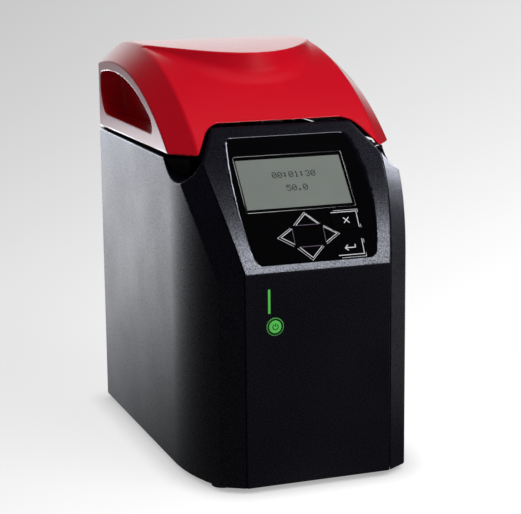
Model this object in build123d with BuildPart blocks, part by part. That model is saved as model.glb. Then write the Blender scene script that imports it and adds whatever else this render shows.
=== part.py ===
from build123d import *
import os
from math import cos, degrees, radians, sin, sqrt

# An analytical bench mill: a black wrap-round housing with a curved console, and a red lid
# over a chamber in which a tilted carrier shakes a disc of sample tubes.
# X runs across the front, +Y to the rear, +Z up, the origin is under the middle of the mill.

os.makedirs("parts", exist_ok=True)

# ---------------------------------------------------------------- overall form
width = 210.0
depth = 337.0
foot_height = 5.0
body_height = 277.0             # lower edge of the housing to its top rim
wall = 3.0                      # housing and lid skin
panel_wall = 4.5                # front panel skin
parting = 0.25                  # fine gap round the front panel and the plates

half_width = width / 2
front_y = -depth / 2
rear_y = depth / 2
body_bottom = foot_height
body_top = body_bottom + body_height

# The sides draw in towards the front along an arc; a facet joins them to the flat front.
side_arc_radius = 174.0
side_arc_depth = 90.0           # where the arc meets the straight side, from the front
facet_depth = 12.1              # where the facet meets the side arc, from the front
rear_corner_radius = 10.0

# Console and lid share one crown, an arc about a cross axis.
crown_radius = 296.7
crown_centre_depth = 271.5
crown_centre_height = 69.5
facet_radius = 282.7            # outer edge of the facet beside the console
facet_cut_height = 178.0        # lowest of the level sections through that facet
facet_cut_step = 16.0
facet_cut_sections = 8
flank_radius = 278.0            # outer edge of the flank along the lid
shoulder_half_width = 84.5      # half width of the crown between the flanks
shoulder_arc_radius = 180.0     # the shoulder draws in towards the front too
shoulder_arc_depth = 78.0

crown_y = front_y + crown_centre_depth
crown_z = body_bottom + crown_centre_height

# ---------------------------------------------------------------- console
tongue_half_width = 66.0        # top of the console, under the lid's front edge
tongue_height = 303.0
tongue_depth = 97.0
scoop_radius = 24.0             # finger scoops under the lid's front corners
scoop_floor_height = 260.0
scoop_corner_x = 104.0
scoop_corner_depth = 74.0
scoop_reach = 22.0
scoop_tilt = 8.0
scoop_run = 40.0                # the scoop's bore starts this far outside the corner
scoop_wall_height = 200.0       # the scoop's wall is looked for above this height

glass_thickness = 2.0
glass_recess = 0.6
glass_lip = 3.0
glass_bottom_arc = 8.0          # arcs are measured along the crown from the front lip
glass_top_arc = 131.5
glass_bottom_half = 54.0
glass_waist_half = 61.2
glass_waist_arc = 66.0
glass_top_half = 54.5
glass_corner_radius = 5.0
console_middle_arc = 70.0

display_left = -56.0
display_right = 46.0
display_bottom_arc = 53.5
display_top_arc = 112.0
lcd_width = 100.0
lcd_tall = 56.0
lcd_thickness = 6.0
lcd_sag = 1.9                   # the flat display stands this far under the curved glass
lcd_board_half = 61.5
lcd_board_tall = 58.0
lcd_middle_arc = 82.8
board_boss_radius = 2.2
board_boss_margin = 2.2
board_boss_overlap = 0.3

key_proud = 1.0
key_depth = 5.0
key_clearance = 0.3
key_bevel = 0.5
pad_x = -3.8
pad_arc = 30.2
arrow_reach = 20.9              # pad centre to an arrow's point
arrow_base = 9.3                # pad centre to an arrow's base
arrow_half = 12.2
wide_reach = 27.2               # the same for the left and right arrows
wide_base = 13.8
wide_half = 8.4
side_key_left = 19.0
side_key_right = 45.0
upper_key_arcs = (33.4, 50.6)
lower_key_arcs = (8.9, 24.7)
keypad_gap = 1.8
keypad_half_width = 61.0
keypad_tall = 42.0
keypad_middle_arc = 29.5
keypad_dome = 1.0
board_thickness = 1.6

power_x = -40.7
power_height = 142.4
power_ring_radius = 8.0
power_ring_bore = 5.8
power_ring_sleeve = 7.0
power_ring_proud = 0.8
power_cap_radius = 5.5
power_cap_proud = 1.4
power_travel = 1.0
power_switch_depth = 14.0
bar_left = -46.6
bar_width = 2.0
bar_bottom = 154.2
bar_length = 20.9

# ---------------------------------------------------------------- lid
lid_rear_setback = 2.0          # rear of the lid in from the rear of the housing
lid_rear_depth = depth - lid_rear_setback
lid_front_height = 282.5        # lower edge at the front corners
lid_rear_height = 280.0
lid_rear_radius = 28.0
notch_half_width = 67.0
notch_height = 306.0
notch_foot_half = 84.5
notch_foot_height = 283.0
notch_depth = 106.0
notch_corner_radius = 8.0
grip_radius = 268.5             # upper edge of the grip pocket, about the crown's centre
grip_front_depth = 141.3
grip_rear_margin = 15.5         # rear end of the grip pocket from the lid's rear
grip_rear_depth = lid_rear_depth - grip_rear_margin
grip_bottom_height = 292.5
grip_inset = 24.5
grip_corner_radius = 4.5
grip_rear_corner_radius = 30.0
brow_front_depth = 151.0        # raised brow on the lid's top: a parabola seen from above
brow_curve = 0.0122
brow_foot_depth = 144.0
brow_foot_curve = 0.0056
brow_half_width = 79.0
brow_top_height = 366.2
brow_top_radius = 1730.0
brow_foot_height = 332.0
brow_rear_margin = 67.0         # rear end of the brow from the lid's rear
brow_rear_depth = lid_rear_depth - brow_rear_margin

liner_gap = 0.4
liner_thickness = 2.0
hinge_setback = 4.0             # hinge axis in from the rear of the housing
hinge_depth = depth - hinge_setback
hinge_height = 280.0
hinge_pin_radius = 1.5
hinge_pin_clearance = 0.05
hinge_knuckle_radius = 3.2
hinge_spacing = 120.0
hinge_leaf_length = 16.0
hinge_gap = 0.4
hinge_arm = 24.0
hinge_foot = 20.0
latch_depth = 110.0
latch_width = 20.0
latch_thickness = 2.5
latch_nose = 5.0
latch_drop = 16.0
latch_clearance = 2.5


# ---------------------------------------------------------------- base, deck and chassis
plate_thickness = 3.0
ledge = 8.0                     # inner flanges of the housing that carry base and deck
foot_radius = 11.0
foot_inset_x = 27.0             # foot axes in from the sides, the front and the rear
foot_front_inset = 34.0
foot_rear_inset = 26.0
foot_taper = 8.0
foot_screw_radius = 2.0
deck_screw_radius = 1.6
deck_screw_head = 2.0
deck_screw_head_radius = 2.6
deck_screw_margin = 2.0         # screw axes from the inner edge of the ledge
deck_screw_depths = (140.0, 225.0, 305.0)
deck_rear_screw_x = 25.0
lid_switch_x = 40.0
lid_switch_radius = 2.0
lid_switch_height = 12.0
lid_switch_pin = 9.0
latch_unit_width = 46.0
latch_unit_depth = 14.0
latch_unit_height = 30.0
rim_seal_inset = 4.0
rim_seal_width = 2.0
rim_seal_gap = 0.8
rim_seal_front = 118.0
rim_seal_rear = 24.0
foot_screw_head = 3.6
foot_screw_head_height = 2.2
foot_screw_hex = 1.6            # corner radius of the hexagon socket
deck_thickness = 3.0
deck_drop = 8.0                 # deck top below the housing's rim
chamber_depth = 205.0           # chamber axis from the front
bowl_radius = 78.0
bowl_wall = 1.5
bowl_flange = 8.0
bowl_drop = 58.0
bowl_corner_radius = 12.0
neck_radius = 24.0
neck_rise = 6.0
motor_plate_height = 158.0      # top of the plate that carries motor and bearing housing
motor_plate_thickness = 6.0
motor_plate_width = 150.0
motor_plate_depth = 120.0
motor_plate_corner = 10.0
pillar_side = 16.0
pillar_inset = 14.0
isolator_height = 12.0
isolator_radius = 9.0
isolator_round = 1.5
motor_radius = 50.0
motor_length = 96.0
motor_bore_clearance = 0.6
shaft_radius = 6.0
fit_clearance = 0.05
bearing_outer_radius = 14.0
bearing_width = 8.0
housing_radius = 26.0           # bearing housing on the motor plate
housing_height = 34.0
housing_flange = 8.0
bearing_seat = 4.0
motor_wall = 3.0
vent_circle = 31.0              # vent slots in the motor's end, on this radius
vent_length = 20.0
rotor_radius = 30.0
stator_slots = 12
stator_slot_radius = 3.0
vent_count = 8
seal_clearance = 0.3

# ---------------------------------------------------------------- wobble drive
hub_cap = 1.0
hub_skirt = 5.0
carrier_gap = 2.0
ball_count = 14
magnet_drop = 2.0
holder_seat = 0.2
tilt = 4.0                      # the hub's journal leans towards the front by this angle
pivot_height = 233.0
journal_radius = 15.0
hub_collar_radius = 19.0
hub_collar = 3.0
wobble_bearing_radius = 27.5
wobble_bearing_ring = 4.0
wobble_bearing_width = 12.0
carrier_radius = 56.0
carrier_thickness = 6.0
carrier_boss_wall = 5.0
magnet_radius = 5.0
magnet_thickness = 4.0
magnet_circle = 47.0
magnet_count = 3
spigot_radius = 8.0
spigot_height = 22.0
holder_radius = 58.0
holder_thickness = 30.0
holder_hub_radius = 18.0
tube_circle = 43.0
tube_count = 12
tube_radius = 5.6
tube_depth = 25.0
holder_round = 3.0
holder_groove_width = 8.0       # shallow groove round the holder's hub
holder_groove_depth = 3.0
knob_radius = 20.0
knob_height = 18.0
knob_lobes = 5
knob_lobe_radius = 5.0
knob_waist = 3.0                # the knob's body is this much smaller than its lobes' reach
knob_round = 1.5
knob_stem_radius = 7.98

# ---------------------------------------------------------------- rear and electrics
rear_window_inset = 21.0        # sides of the rear window in from the housing's sides
rear_window_half = half_width - rear_window_inset
rear_window_bottom = 22.0
rear_window_top = 232.0
rear_window_radius = 8.0
rear_panel_margin = 7.0
rear_panel_thickness = 2.0
inlet_x = 44.0
inlet_height = 68.0
inlet_width = 29.0
inlet_tall = 62.0
inlet_depth = 28.0
inlet_flange = 2.0
inlet_rim = 3.0
socket_width = 24.0
socket_tall = 16.5
socket_drop = 16.0              # socket, drawer and rocker from the middle of the inlet
socket_depth = 16.0
pin_pitch = 7.0
pin_width = 2.0
pin_tall = 4.0
pin_length = 14.0
fuse_width = 24.0
fuse_tall = 7.0
fuse_depth = 15.0
fuse_grip = 0.6
rocker_width = 20.0
rocker_half = 6.8
rocker_opening = 15.6
rocker_rise = 15.0
rocker_tilt = 8.0
rocker_pivot_depth = 4.2        # pivot behind the inlet's face
rocker_pin_radius = 1.5
rocker_pin_length = 1.2
fan_x = -36.0
fan_height = 150.0
fan_side = 80.0
fan_corner = 4.0
fan_thickness = 25.0
fan_bore_radius = 37.5
fan_hub_radius = 18.0
fan_blades = 7
fan_blade_length = 20.0
fan_blade_thickness = 1.6
fan_blade_pitch = 40.0
fan_tip_radius = 36.2
fan_hub_length = 20.0
fan_strut = 3.0
fan_shaft_radius = 2.0
fan_hole_spacing = 71.5
grille_rings = 6
grille_pitch = 6.0
grille_slot = 4.0
grille_rib = 3.0
rear_screw_radius = 1.6
rear_screw_head_radius = 2.8
rear_screw_head = 1.5
rear_screw_length = 10.0
supply_width = 110.0
supply_depth = 70.0
supply_height = 42.0
supply_front = 20.0
supply_wall = 1.5
supply_vents = (9, 2)
supply_vent_pitch = 10.0
supply_vent_spacing = 29.0
supply_vent_length = 23.0
main_board_width = 120.0
main_board_tall = 70.0
main_board_height = 95.0        # its middle, above the housing's lower edge
main_board_gap = 8.0            # behind the front panel
boss_radius = 3.0



def crown_front(radius, height):
    """Y of the front of a cylinder of this radius about the crown's axis, at this height."""
    return crown_y - sqrt(radius**2 - (height - crown_z) ** 2)


def crown_top(radius, y):
    """Height of the top of a cylinder of this radius about the crown's axis, at this y."""
    return crown_z + sqrt(radius**2 - (y - crown_y) ** 2)


def drawn_in(half, arc_radius, arc_depth, y):
    """Half width at y of a side that draws in along an arc in front of arc_depth."""
    ahead = max(front_y + arc_depth - y, 0.0)
    return half - arc_radius + sqrt(arc_radius**2 - ahead**2)


def side_at(y):
    return drawn_in(half_width, side_arc_radius, side_arc_depth, y)


def shoulder_at(y):
    return drawn_in(shoulder_half_width, shoulder_arc_radius, shoulder_arc_depth, y)


def lip_height(inset):
    """Height at which the crown, drawn in by inset, meets the front plane, drawn in too."""
    return crown_z + sqrt((crown_radius - inset) ** 2 - (crown_centre_depth - inset) ** 2)


def console_point(arc, radius=crown_radius):
    """Point on the crown at this arc length above the front lip, in the middle plane."""
    start = lip_height(0) - crown_z
    lip = Vector(0, -crown_centre_depth, start)
    turned = lip.rotate(Axis.X, -degrees(arc / crown_radius))
    return Vector(0, crown_y, crown_z) + turned * (radius / crown_radius)


def console_plane(x, arc, radius=crown_radius):
    """Plane that touches the crown at x and this arc length; its normal points outwards."""
    foot = console_point(arc, radius)
    normal = foot - Vector(0, crown_y, crown_z)
    return Plane(origin=(x, foot.Y, foot.Z), x_dir=(1, 0, 0), z_dir=normal)


def plan_outline(inset, height):
    """The housing's outline from above, drawn in by inset, as a face at this height."""
    with BuildSketch(Plane.XY.offset(height)) as outline:
        with BuildLine():
            facet_y = front_y + facet_depth
            arc_end = front_y + side_arc_depth
            arc_middle = (facet_y + arc_end) / 2
            front = Line((0, front_y), (shoulder_at(front_y), front_y))
            facet = Line(front @ 1, (side_at(facet_y), facet_y))
            arc = ThreePointArc(facet @ 1, (side_at(arc_middle), arc_middle), (half_width, arc_end))
            side = Line(arc @ 1, (half_width, rear_y - rear_corner_radius))
            corner = RadiusArc(side @ 1, (half_width - rear_corner_radius, rear_y), -rear_corner_radius)
            Line(corner @ 1, (0, rear_y))
            mirror(about=Plane.YZ)
        make_face()
        if inset > 0:
            offset(amount=-inset, kind=Kind.INTERSECTION)
    return outline.sketch


def crown_profile(inset, rear, bottom=-1.0, rear_radius=0.0):
    """Side view of front plane and crown, drawn in by inset, down to bottom and back to rear."""
    lip = lip_height(inset)
    radius = crown_radius - inset
    high_y = (front_y + inset + rear) / 2
    with BuildSketch(Plane.YZ) as profile:
        with BuildLine():
            front = Line((front_y + inset, bottom), (front_y + inset, lip))
            crown_high = (high_y, crown_top(radius, high_y))
            crown = ThreePointArc(front @ 1, crown_high, (rear, crown_top(radius, rear)))
            back = Line(crown @ 1, (rear, bottom))
            Line(back @ 1, front @ 0)
        make_face()
        if rear_radius > 0:
            fillet(profile.vertices().sort_by(Axis.Y)[-2:].sort_by(Axis.Z)[-1], rear_radius)
    return profile.sketch


def strip_outline(gap, height, strip_depth):
    """The crown's strip between the shoulders from above, narrower by gap on each side."""
    with BuildSketch(Plane.XY.offset(height)) as strip:
        with BuildLine():
            arc_end = front_y + shoulder_arc_depth
            middle = (front_y + arc_end) / 2
            edge = Line((0, front_y - wall), (shoulder_at(front_y) - gap, front_y - wall))
            straight = Line(edge @ 1, (shoulder_at(front_y) - gap, front_y))
            arc = ThreePointArc(
                straight @ 1, (shoulder_at(middle) - gap, middle), (shoulder_half_width - gap, arc_end)
            )
            side = Line(arc @ 1, (shoulder_half_width - gap, front_y + strip_depth))
            Line(side @ 1, (0, front_y + strip_depth))
            mirror(about=Plane.YZ)
        make_face()
    return strip.sketch


def facet_cutter(inset):
    """Wedge in front of the right facet, lofted through level triangles up the crown.

    Each triangle's inner side lies on the line from the shoulder, on the crown, to the
    side arc, on the facet cylinder. The inset moves that line into the housing."""
    slope = 1.25                # a level step into the facet is this much more than its depth
    reach_in = 0.35
    reach_out = 0.6
    sections = []
    for step in range(facet_cut_sections):
        height = body_bottom + facet_cut_height + step * facet_cut_step
        inner = Vector(0, crown_front(crown_radius, height))
        inner.X = shoulder_at(inner.Y)
        outer = Vector(0, crown_front(facet_radius, height))
        outer.X = side_at(outer.Y)
        run = outer - inner
        inward = Vector(-run.Y, run.X).normalized() * inset * slope
        near = inner - run * reach_in + inward
        far = outer + run * reach_out + inward
        with BuildSketch(Plane.XY.offset(height)) as triangle:
            with BuildLine():
                Polyline((near.X, near.Y), (far.X, far.Y), (far.X, near.Y - wall), close=True)
            make_face()
        sections.append(triangle.sketch)
    with BuildPart() as wedge:
        loft(sections)
    return wedge.part


def body_form(inset, bottom, top):
    """Solid form of the housing, drawn in by inset, between two heights."""
    wedge = facet_cutter(inset)
    with BuildPart() as form:
        extrude(plan_outline(inset, bottom), amount=top - bottom)
        extrude(crown_profile(inset, rear_y), amount=half_width, both=True, mode=Mode.INTERSECT)
        add(wedge, mode=Mode.SUBTRACT)
        add(wedge.mirror(Plane.YZ), mode=Mode.SUBTRACT)
    return form.part


def scoop_bore(grow):
    """Both finger scoops: leaning cylinders that run diagonally in from the front corners."""
    radius = scoop_radius + grow
    corner_z = body_bottom + scoop_floor_height + scoop_radius
    corner = Vector(scoop_corner_x, front_y + scoop_corner_depth, corner_z)
    level = Vector(-1, 1, 0).normalized()
    inwards = level * cos(radians(scoop_tilt)) + Vector(0, 0, sin(radians(scoop_tilt)))
    start = corner - inwards * scoop_run
    with BuildPart() as bore:
        with BuildSketch(Plane(origin=start, z_dir=inwards)):
            Circle(radius)
        extrude(amount=scoop_run + scoop_reach + grow)
        mirror(about=Plane.YZ)
    return bore.part


def ledge_ring(bottom, front_depth):
    """Inner flange of the housing, from front_depth to the rear."""
    with BuildPart() as ring:
        extrude(plan_outline(wall, bottom), amount=plate_thickness)
        extrude(plan_outline(wall + ledge, bottom), amount=plate_thickness, mode=Mode.SUBTRACT)
        if front_depth > 0:
            with BuildSketch(Plane.XY.offset(bottom)):
                with Locations((0, front_y + front_depth / 2)):
                    Rectangle(width, front_depth)
            extrude(amount=plate_thickness, mode=Mode.SUBTRACT)
    return ring.part


def hinge_notches(bottom, top):
    """Room round both hinges, open to the rear, between two heights."""
    with BuildPart() as notches:
        for hinge_x in hinge_places:
            with BuildSketch(Plane.XY.offset(bottom)):
                with Locations((hinge_x, rear_y)):
                    Rectangle(hinge_leaf_length + 4 * hinge_gap, 2 * hinge_reach)
            extrude(amount=top - bottom)
    return notches.part


# ---------------------------------------------------------------- housing
hinge_y = front_y + hinge_depth
hinge_z = body_bottom + hinge_height
hinge_reach = rear_y - hinge_y + hinge_knuckle_radius + hinge_gap
hinge_places = (-hinge_spacing / 2, hinge_spacing / 2)
strip = strip_outline(-parting, 0, tongue_depth)
strip_prism = extrude(strip, amount=2 * body_top)
scoop_wall = body_form(0, body_bottom + scoop_wall_height, body_top) & scoop_bore(wall)
scoop_room = scoop_bore(0) - strip_prism
body_inside = body_form(wall, body_bottom - 1.0, body_top + 1.0)
deck_top = body_top - deck_drop
deck_bottom = deck_top - deck_thickness

rear_screw_places = []
for side in (-1, 1):
    for height in (rear_window_bottom, (rear_window_bottom + rear_window_top) / 2, rear_window_top):
        rear_screw_places.append((side * (rear_window_half + rear_panel_margin / 2), body_bottom + height))

with BuildPart() as housing:
    add(body_form(0, body_bottom, body_top))
    add(body_inside, mode=Mode.SUBTRACT)
    add(scoop_wall)
    add(ledge_ring(body_bottom + plate_thickness + parting, 0))
    add(ledge_ring(deck_bottom - plate_thickness, tongue_depth))
    with BuildSketch(Plane.XZ.offset(-rear_y)):
        with Locations((0, body_bottom + (rear_window_bottom + rear_window_top) / 2)):
            RectangleRounded(2 * rear_window_half, rear_window_top - rear_window_bottom, rear_window_radius)
    extrude(amount=wall + 1.0, mode=Mode.SUBTRACT)
    with BuildSketch(Plane.XZ.offset(-rear_y)):
        with Locations(*rear_screw_places):
            Circle(rear_screw_radius + fit_clearance)
    extrude(amount=wall, mode=Mode.SUBTRACT)
    with BuildSketch(Plane.XZ.offset(-rear_y)):
        with Locations(*rear_screw_places):
            Circle(rear_screw_head_radius + fit_clearance)
    extrude(amount=rear_screw_head + fit_clearance, mode=Mode.SUBTRACT)
    add(strip_prism, mode=Mode.SUBTRACT)
    add(scoop_room, mode=Mode.SUBTRACT)
    add(hinge_notches(body_top - hinge_knuckle_radius - hinge_gap, body_top + 1.0), mode=Mode.SUBTRACT)
housing.part.label = "housing"
export_step(housing.part, "parts/housing.step")


# ---------------------------------------------------------------- front panel and console
def tongue_form(inset, back_depth):
    """Block behind the top of the console, with sides that slant in above the rim."""
    foot = shoulder_half_width - parting - inset
    top = body_bottom + tongue_height - inset
    with BuildPart() as form:
        with BuildSketch(Plane.XZ.offset(-front_y)):
            with BuildLine():
                base = Line((0, deck_top - inset), (foot, deck_top - inset))
                side = Line(base @ 1, (foot, body_top))
                slant = Line(side @ 1, (tongue_half_width - inset, top))
                Line(slant @ 1, (0, top))
                mirror(about=Plane.YZ)
            make_face()
        extrude(amount=-back_depth)
        extrude(crown_profile(inset, rear_y), amount=half_width, both=True, mode=Mode.INTERSECT)
    return form.part


def above_tongue():
    """Room outside the console's slanted shoulders, on both sides of the tongue."""
    with BuildPart() as room:
        with BuildSketch(Plane.XZ.offset(-front_y)):
            with BuildLine():
                foot = shoulder_half_width - parting
                slant = Line((foot, body_top), (tongue_half_width, body_bottom + tongue_height))
                top = Line(slant @ 1, (tongue_half_width, body_bottom + 2 * tongue_height))
                far = Line(top @ 1, (width, body_bottom + 2 * tongue_height))
                low = Line(far @ 1, (width, body_top))
                Line(low @ 1, slant @ 0)
            make_face()
        extrude(amount=-tongue_depth)
        mirror(about=Plane.YZ)
    return room.part


def glass_outline(inset):
    """Outline of the fascia glass on the console's middle plane, drawn in by inset.

    The glass is widest at its waist and narrows towards its foot and its top."""
    middle = console_middle_arc
    with BuildSketch() as outline:
        with BuildLine():
            foot_v = crown_radius * sin((glass_bottom_arc - middle) / crown_radius)
            waist_v = crown_radius * sin((glass_waist_arc - middle) / crown_radius)
            top_v = crown_radius * sin((glass_top_arc - middle) / crown_radius)
            foot = Line((0, foot_v), (glass_bottom_half, foot_v))
            side = ThreePointArc(foot @ 1, (glass_waist_half, waist_v), (glass_top_half, top_v))
            Line(side @ 1, (0, top_v))
            mirror(about=Plane.YZ)
        make_face()
        fillet(outline.vertices(), glass_corner_radius)
        if inset > 0:
            offset(amount=-inset)
    return outline.sketch


def on_console(sketch, reach):
    """The sketch, drawn on the console's middle plane, run through the console both ways."""
    placed = console_plane(0, console_middle_arc) * sketch
    return extrude(placed, amount=reach, both=True, mode=Mode.PRIVATE)


def display_outline(inset):
    bottom_v = crown_radius * sin((display_bottom_arc - console_middle_arc) / crown_radius)
    top_v = crown_radius * sin((display_top_arc - console_middle_arc) / crown_radius)
    with BuildSketch() as outline:
        with Locations(((display_left + display_right) / 2, (bottom_v + top_v) / 2)):
            RectangleRounded(
                display_right - display_left - 2 * inset, top_v - bottom_v - 2 * inset, glass_lip / 2
            )
    return outline.sketch


def crown_shell(outer, inner):
    """Sheet between two radii about the crown's axis, across the whole width."""
    with BuildPart() as shell:
        with BuildSketch(Plane.YZ):
            with Locations((crown_y, crown_z)):
                Circle(outer)
                Circle(inner, mode=Mode.SUBTRACT)
        extrude(amount=half_width, both=True)
    return shell.part


def key_outline(name, grow):
    """Outline of a key about its own centre: arrows are triangles, the others are rectangles."""
    with BuildSketch() as outline:
        if name in ("up", "down"):
            sign = 1 if name == "up" else -1
            middle = (arrow_reach + arrow_base) / 2
            rise = arrow_reach - middle
            with BuildLine():
                low = -sign * rise
                Polyline((0, sign * rise), (-sign * arrow_half, low), (sign * arrow_half, low), close=True)
            make_face()
        elif name in ("left", "right"):
            sign = 1 if name == "right" else -1
            rise = (wide_reach - wide_base) / 2
            with BuildLine():
                inner = -sign * rise
                Polyline((sign * rise, 0), (inner, sign * wide_half), (inner, -sign * wide_half), close=True)
            make_face()
        else:
            arcs = upper_key_arcs if name == "upper" else lower_key_arcs
            RectangleRounded(side_key_right - side_key_left, arcs[1] - arcs[0], key_clearance * 3)
        if grow > 0:
            offset(amount=grow, kind=Kind.INTERSECTION)
    return outline.sketch


key_places = {
    "up": (pad_x, pad_arc + (arrow_reach + arrow_base) / 2),
    "down": (pad_x, pad_arc - (arrow_reach + arrow_base) / 2),
    "left": (pad_x - (wide_reach + wide_base) / 2, pad_arc),
    "right": (pad_x + (wide_reach + wide_base) / 2, pad_arc),
    "upper": ((side_key_left + side_key_right) / 2, sum(upper_key_arcs) / 2),
    "lower": ((side_key_left + side_key_right) / 2, sum(lower_key_arcs) / 2),
}
glass_radius = crown_radius - glass_recess
glass_back_radius = glass_radius - glass_thickness
panel_inner = crown_radius - panel_wall
lcd_front_radius = glass_back_radius - lcd_sag
lcd_board_radius = lcd_front_radius - lcd_thickness
lcd_plane = console_plane(0, lcd_middle_arc, lcd_board_radius)
keypad_radius = glass_radius - key_depth - keypad_gap
keypad_plane = console_plane(0, keypad_middle_arc, keypad_radius)


def board_bosses(plane, half, tall, length):
    """Four bosses that stand on a board's front face and join the panel in front of it."""
    with BuildPart() as bosses:
        with BuildSketch(plane):
            with GridLocations(2 * (half - board_boss_margin), tall - 2 * board_boss_margin, 2, 2):
                Circle(board_boss_radius)
        extrude(amount=length)
    return bosses.part



tongue = tongue_form(0, tongue_depth) - tongue_form(wall, tongue_depth - wall)
glass_seat = on_console(glass_outline(0), 4 * panel_wall) & crown_shell(crown_radius + wall, glass_back_radius)

with BuildPart() as front_panel:
    extrude(crown_profile(0, front_y + tongue_depth, bottom=body_bottom), amount=half_width, both=True)
    inner_profile = crown_profile(panel_wall, front_y + tongue_depth, bottom=body_bottom)
    extrude(inner_profile, amount=half_width, both=True,
            mode=Mode.SUBTRACT)
    with BuildSketch(Plane.XY.offset(body_bottom + tongue_height)):
        Rectangle(width, depth)
    extrude(amount=tongue_height, mode=Mode.SUBTRACT)
    add(above_tongue(), mode=Mode.SUBTRACT)
    add(tongue)
    extrude(strip_outline(0, 0, tongue_depth), amount=body_top + tongue_height, mode=Mode.INTERSECT)
    add(on_console(glass_outline(glass_lip), 4 * panel_wall), mode=Mode.SUBTRACT)
    add(glass_seat, mode=Mode.SUBTRACT)
    for name, (key_x, key_arc) in key_places.items():
        place = console_plane(key_x, key_arc, glass_radius)
        extrude(place * key_outline(name, key_clearance), amount=2 * panel_wall, both=True, mode=Mode.SUBTRACT)
    with BuildSketch(Plane.XZ.offset(-front_y)):
        with Locations((power_x, body_bottom + power_height)):
            Circle(power_ring_sleeve + fit_clearance)
        with Locations((bar_left + bar_width / 2, body_bottom + bar_bottom + bar_length / 2)):
            Rectangle(bar_width + 2 * fit_clearance, bar_length + 2 * fit_clearance)
    extrude(amount=-2 * panel_wall, mode=Mode.SUBTRACT)
    boss_length = panel_inner - lcd_board_radius + board_boss_overlap
    add(board_bosses(lcd_plane, lcd_board_half, lcd_board_tall, boss_length))
    add(board_bosses(keypad_plane, keypad_half_width, keypad_tall,
                     panel_inner - keypad_radius + board_boss_overlap))
    with BuildSketch(Plane.XZ.offset(-(front_y + panel_wall))):
        with Locations((0, body_bottom + main_board_height)):
            with GridLocations(main_board_width - 3 * boss_radius, main_board_tall - 3 * boss_radius, 2, 2):
                Circle(boss_radius)
    extrude(amount=-main_board_gap)
front_panel.part.label = "front_panel"
export_step(front_panel.part, "parts/front_panel.step")

with BuildPart() as fascia_glass:
    add(on_console(glass_outline(fit_clearance), 4 * panel_wall) & crown_shell(glass_radius, glass_back_radius))
    add(on_console(display_outline(0), 4 * panel_wall), mode=Mode.SUBTRACT)
    for name, (key_x, key_arc) in key_places.items():
        place = console_plane(key_x, key_arc, glass_radius)
        extrude(place * key_outline(name, key_clearance), amount=4 * glass_thickness, both=True, mode=Mode.SUBTRACT)
fascia_glass.part.label = "fascia_glass"
export_step(fascia_glass.part, "parts/fascia_glass.step")

with BuildPart() as display_window:
    add(on_console(display_outline(fit_clearance), 4 * panel_wall)
        & crown_shell(glass_radius - glass_recess, glass_back_radius))
display_window.part.label = "display_window"
export_step(display_window.part, "parts/display_window.step")

for name, (key_x, key_arc) in key_places.items():
    place = console_plane(key_x, key_arc, glass_radius + key_proud)
    with BuildPart() as key:
        extrude(place * key_outline(name, 0), amount=-(key_proud + key_depth))
        rim = key.faces().sort_by(Axis(place.origin, place.z_dir))[-1]
        chamfer(rim.edges(), key_bevel)
    label = name + ("_arrow_key" if name in ("up", "down", "left", "right") else "_side_key")
    key.part.label = label
    export_step(key.part, "parts/" + label + ".step")

with BuildPart() as display_module:
    with BuildSketch(lcd_plane):
        with Locations(((display_left + display_right) / 2, 0)):
            Rectangle(lcd_width, lcd_tall)
    extrude(amount=lcd_thickness)
    with BuildSketch(lcd_plane):
        RectangleRounded(2 * lcd_board_half, lcd_board_tall, 2.0)
    extrude(amount=-board_thickness)
display_module.part.label = "display_module"
export_step(display_module.part, "parts/display_module.step")

with BuildPart() as keypad_board:
    with BuildSketch(keypad_plane):
        RectangleRounded(2 * keypad_half_width, keypad_tall, 2.0)
    extrude(amount=-board_thickness)
    for name, (key_x, key_arc) in key_places.items():
        rise = crown_radius * sin((key_arc - keypad_middle_arc) / crown_radius)
        with BuildSketch(keypad_plane):
            with Locations((key_x, rise)):
                Circle(3 * keypad_dome)
        extrude(amount=keypad_dome / 2)
keypad_board.part.label = "keypad_board"
export_step(keypad_board.part, "parts/keypad_board.step")

power_front = Plane(
    origin=(power_x, front_y, body_bottom + power_height), x_dir=(1, 0, 0), z_dir=(0, -1, 0)
)
sleeve_length = panel_wall + power_switch_depth / 2

with BuildPart() as power_ring:
    with BuildSketch(power_front):
        Circle(power_ring_radius)
    extrude(amount=power_ring_proud)
    chamfer(power_ring.faces().sort_by(Axis.Y)[0].edges(), power_ring_proud / 2)
    with BuildSketch(power_front):
        Circle(power_ring_sleeve)
    extrude(amount=-sleeve_length)
    with BuildSketch(power_front.offset(-panel_wall)):
        Circle(power_ring_sleeve + wall)
    extrude(amount=-wall)
    with BuildSketch(power_front.offset(power_ring_proud)):
        Circle(power_ring_bore)
    extrude(amount=-(sleeve_length + power_ring_proud), mode=Mode.SUBTRACT)
power_ring.part.label = "power_ring"
export_step(power_ring.part, "parts/power_ring.step")

with BuildPart() as power_button:
    with BuildSketch(power_front.offset(power_cap_proud)):
        Circle(power_cap_radius)
    extrude(amount=-(power_cap_proud + panel_wall))
    chamfer(power_button.faces().sort_by(Axis.Y)[0].edges(), power_travel / 2)
power_button.part.label = "power_button"
export_step(power_button.part, "parts/power_button.step")

with BuildPart() as power_switch:
    with BuildSketch(power_front.offset(-sleeve_length)):
        Circle(power_ring_sleeve)
    extrude(amount=-power_switch_depth)
    with BuildSketch(power_front.offset(-sleeve_length)):
        Circle(power_cap_radius / 3)
    extrude(amount=sleeve_length - panel_wall - power_travel - key_clearance)
    with BuildSketch(power_front.offset(-sleeve_length - power_switch_depth)):
        with GridLocations(power_cap_radius, power_cap_radius, 2, 2):
            Rectangle(wall / 2, wall / 4)
    extrude(amount=-wall)
power_switch.part.label = "power_switch"
export_step(power_switch.part, "parts/power_switch.step")

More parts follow.
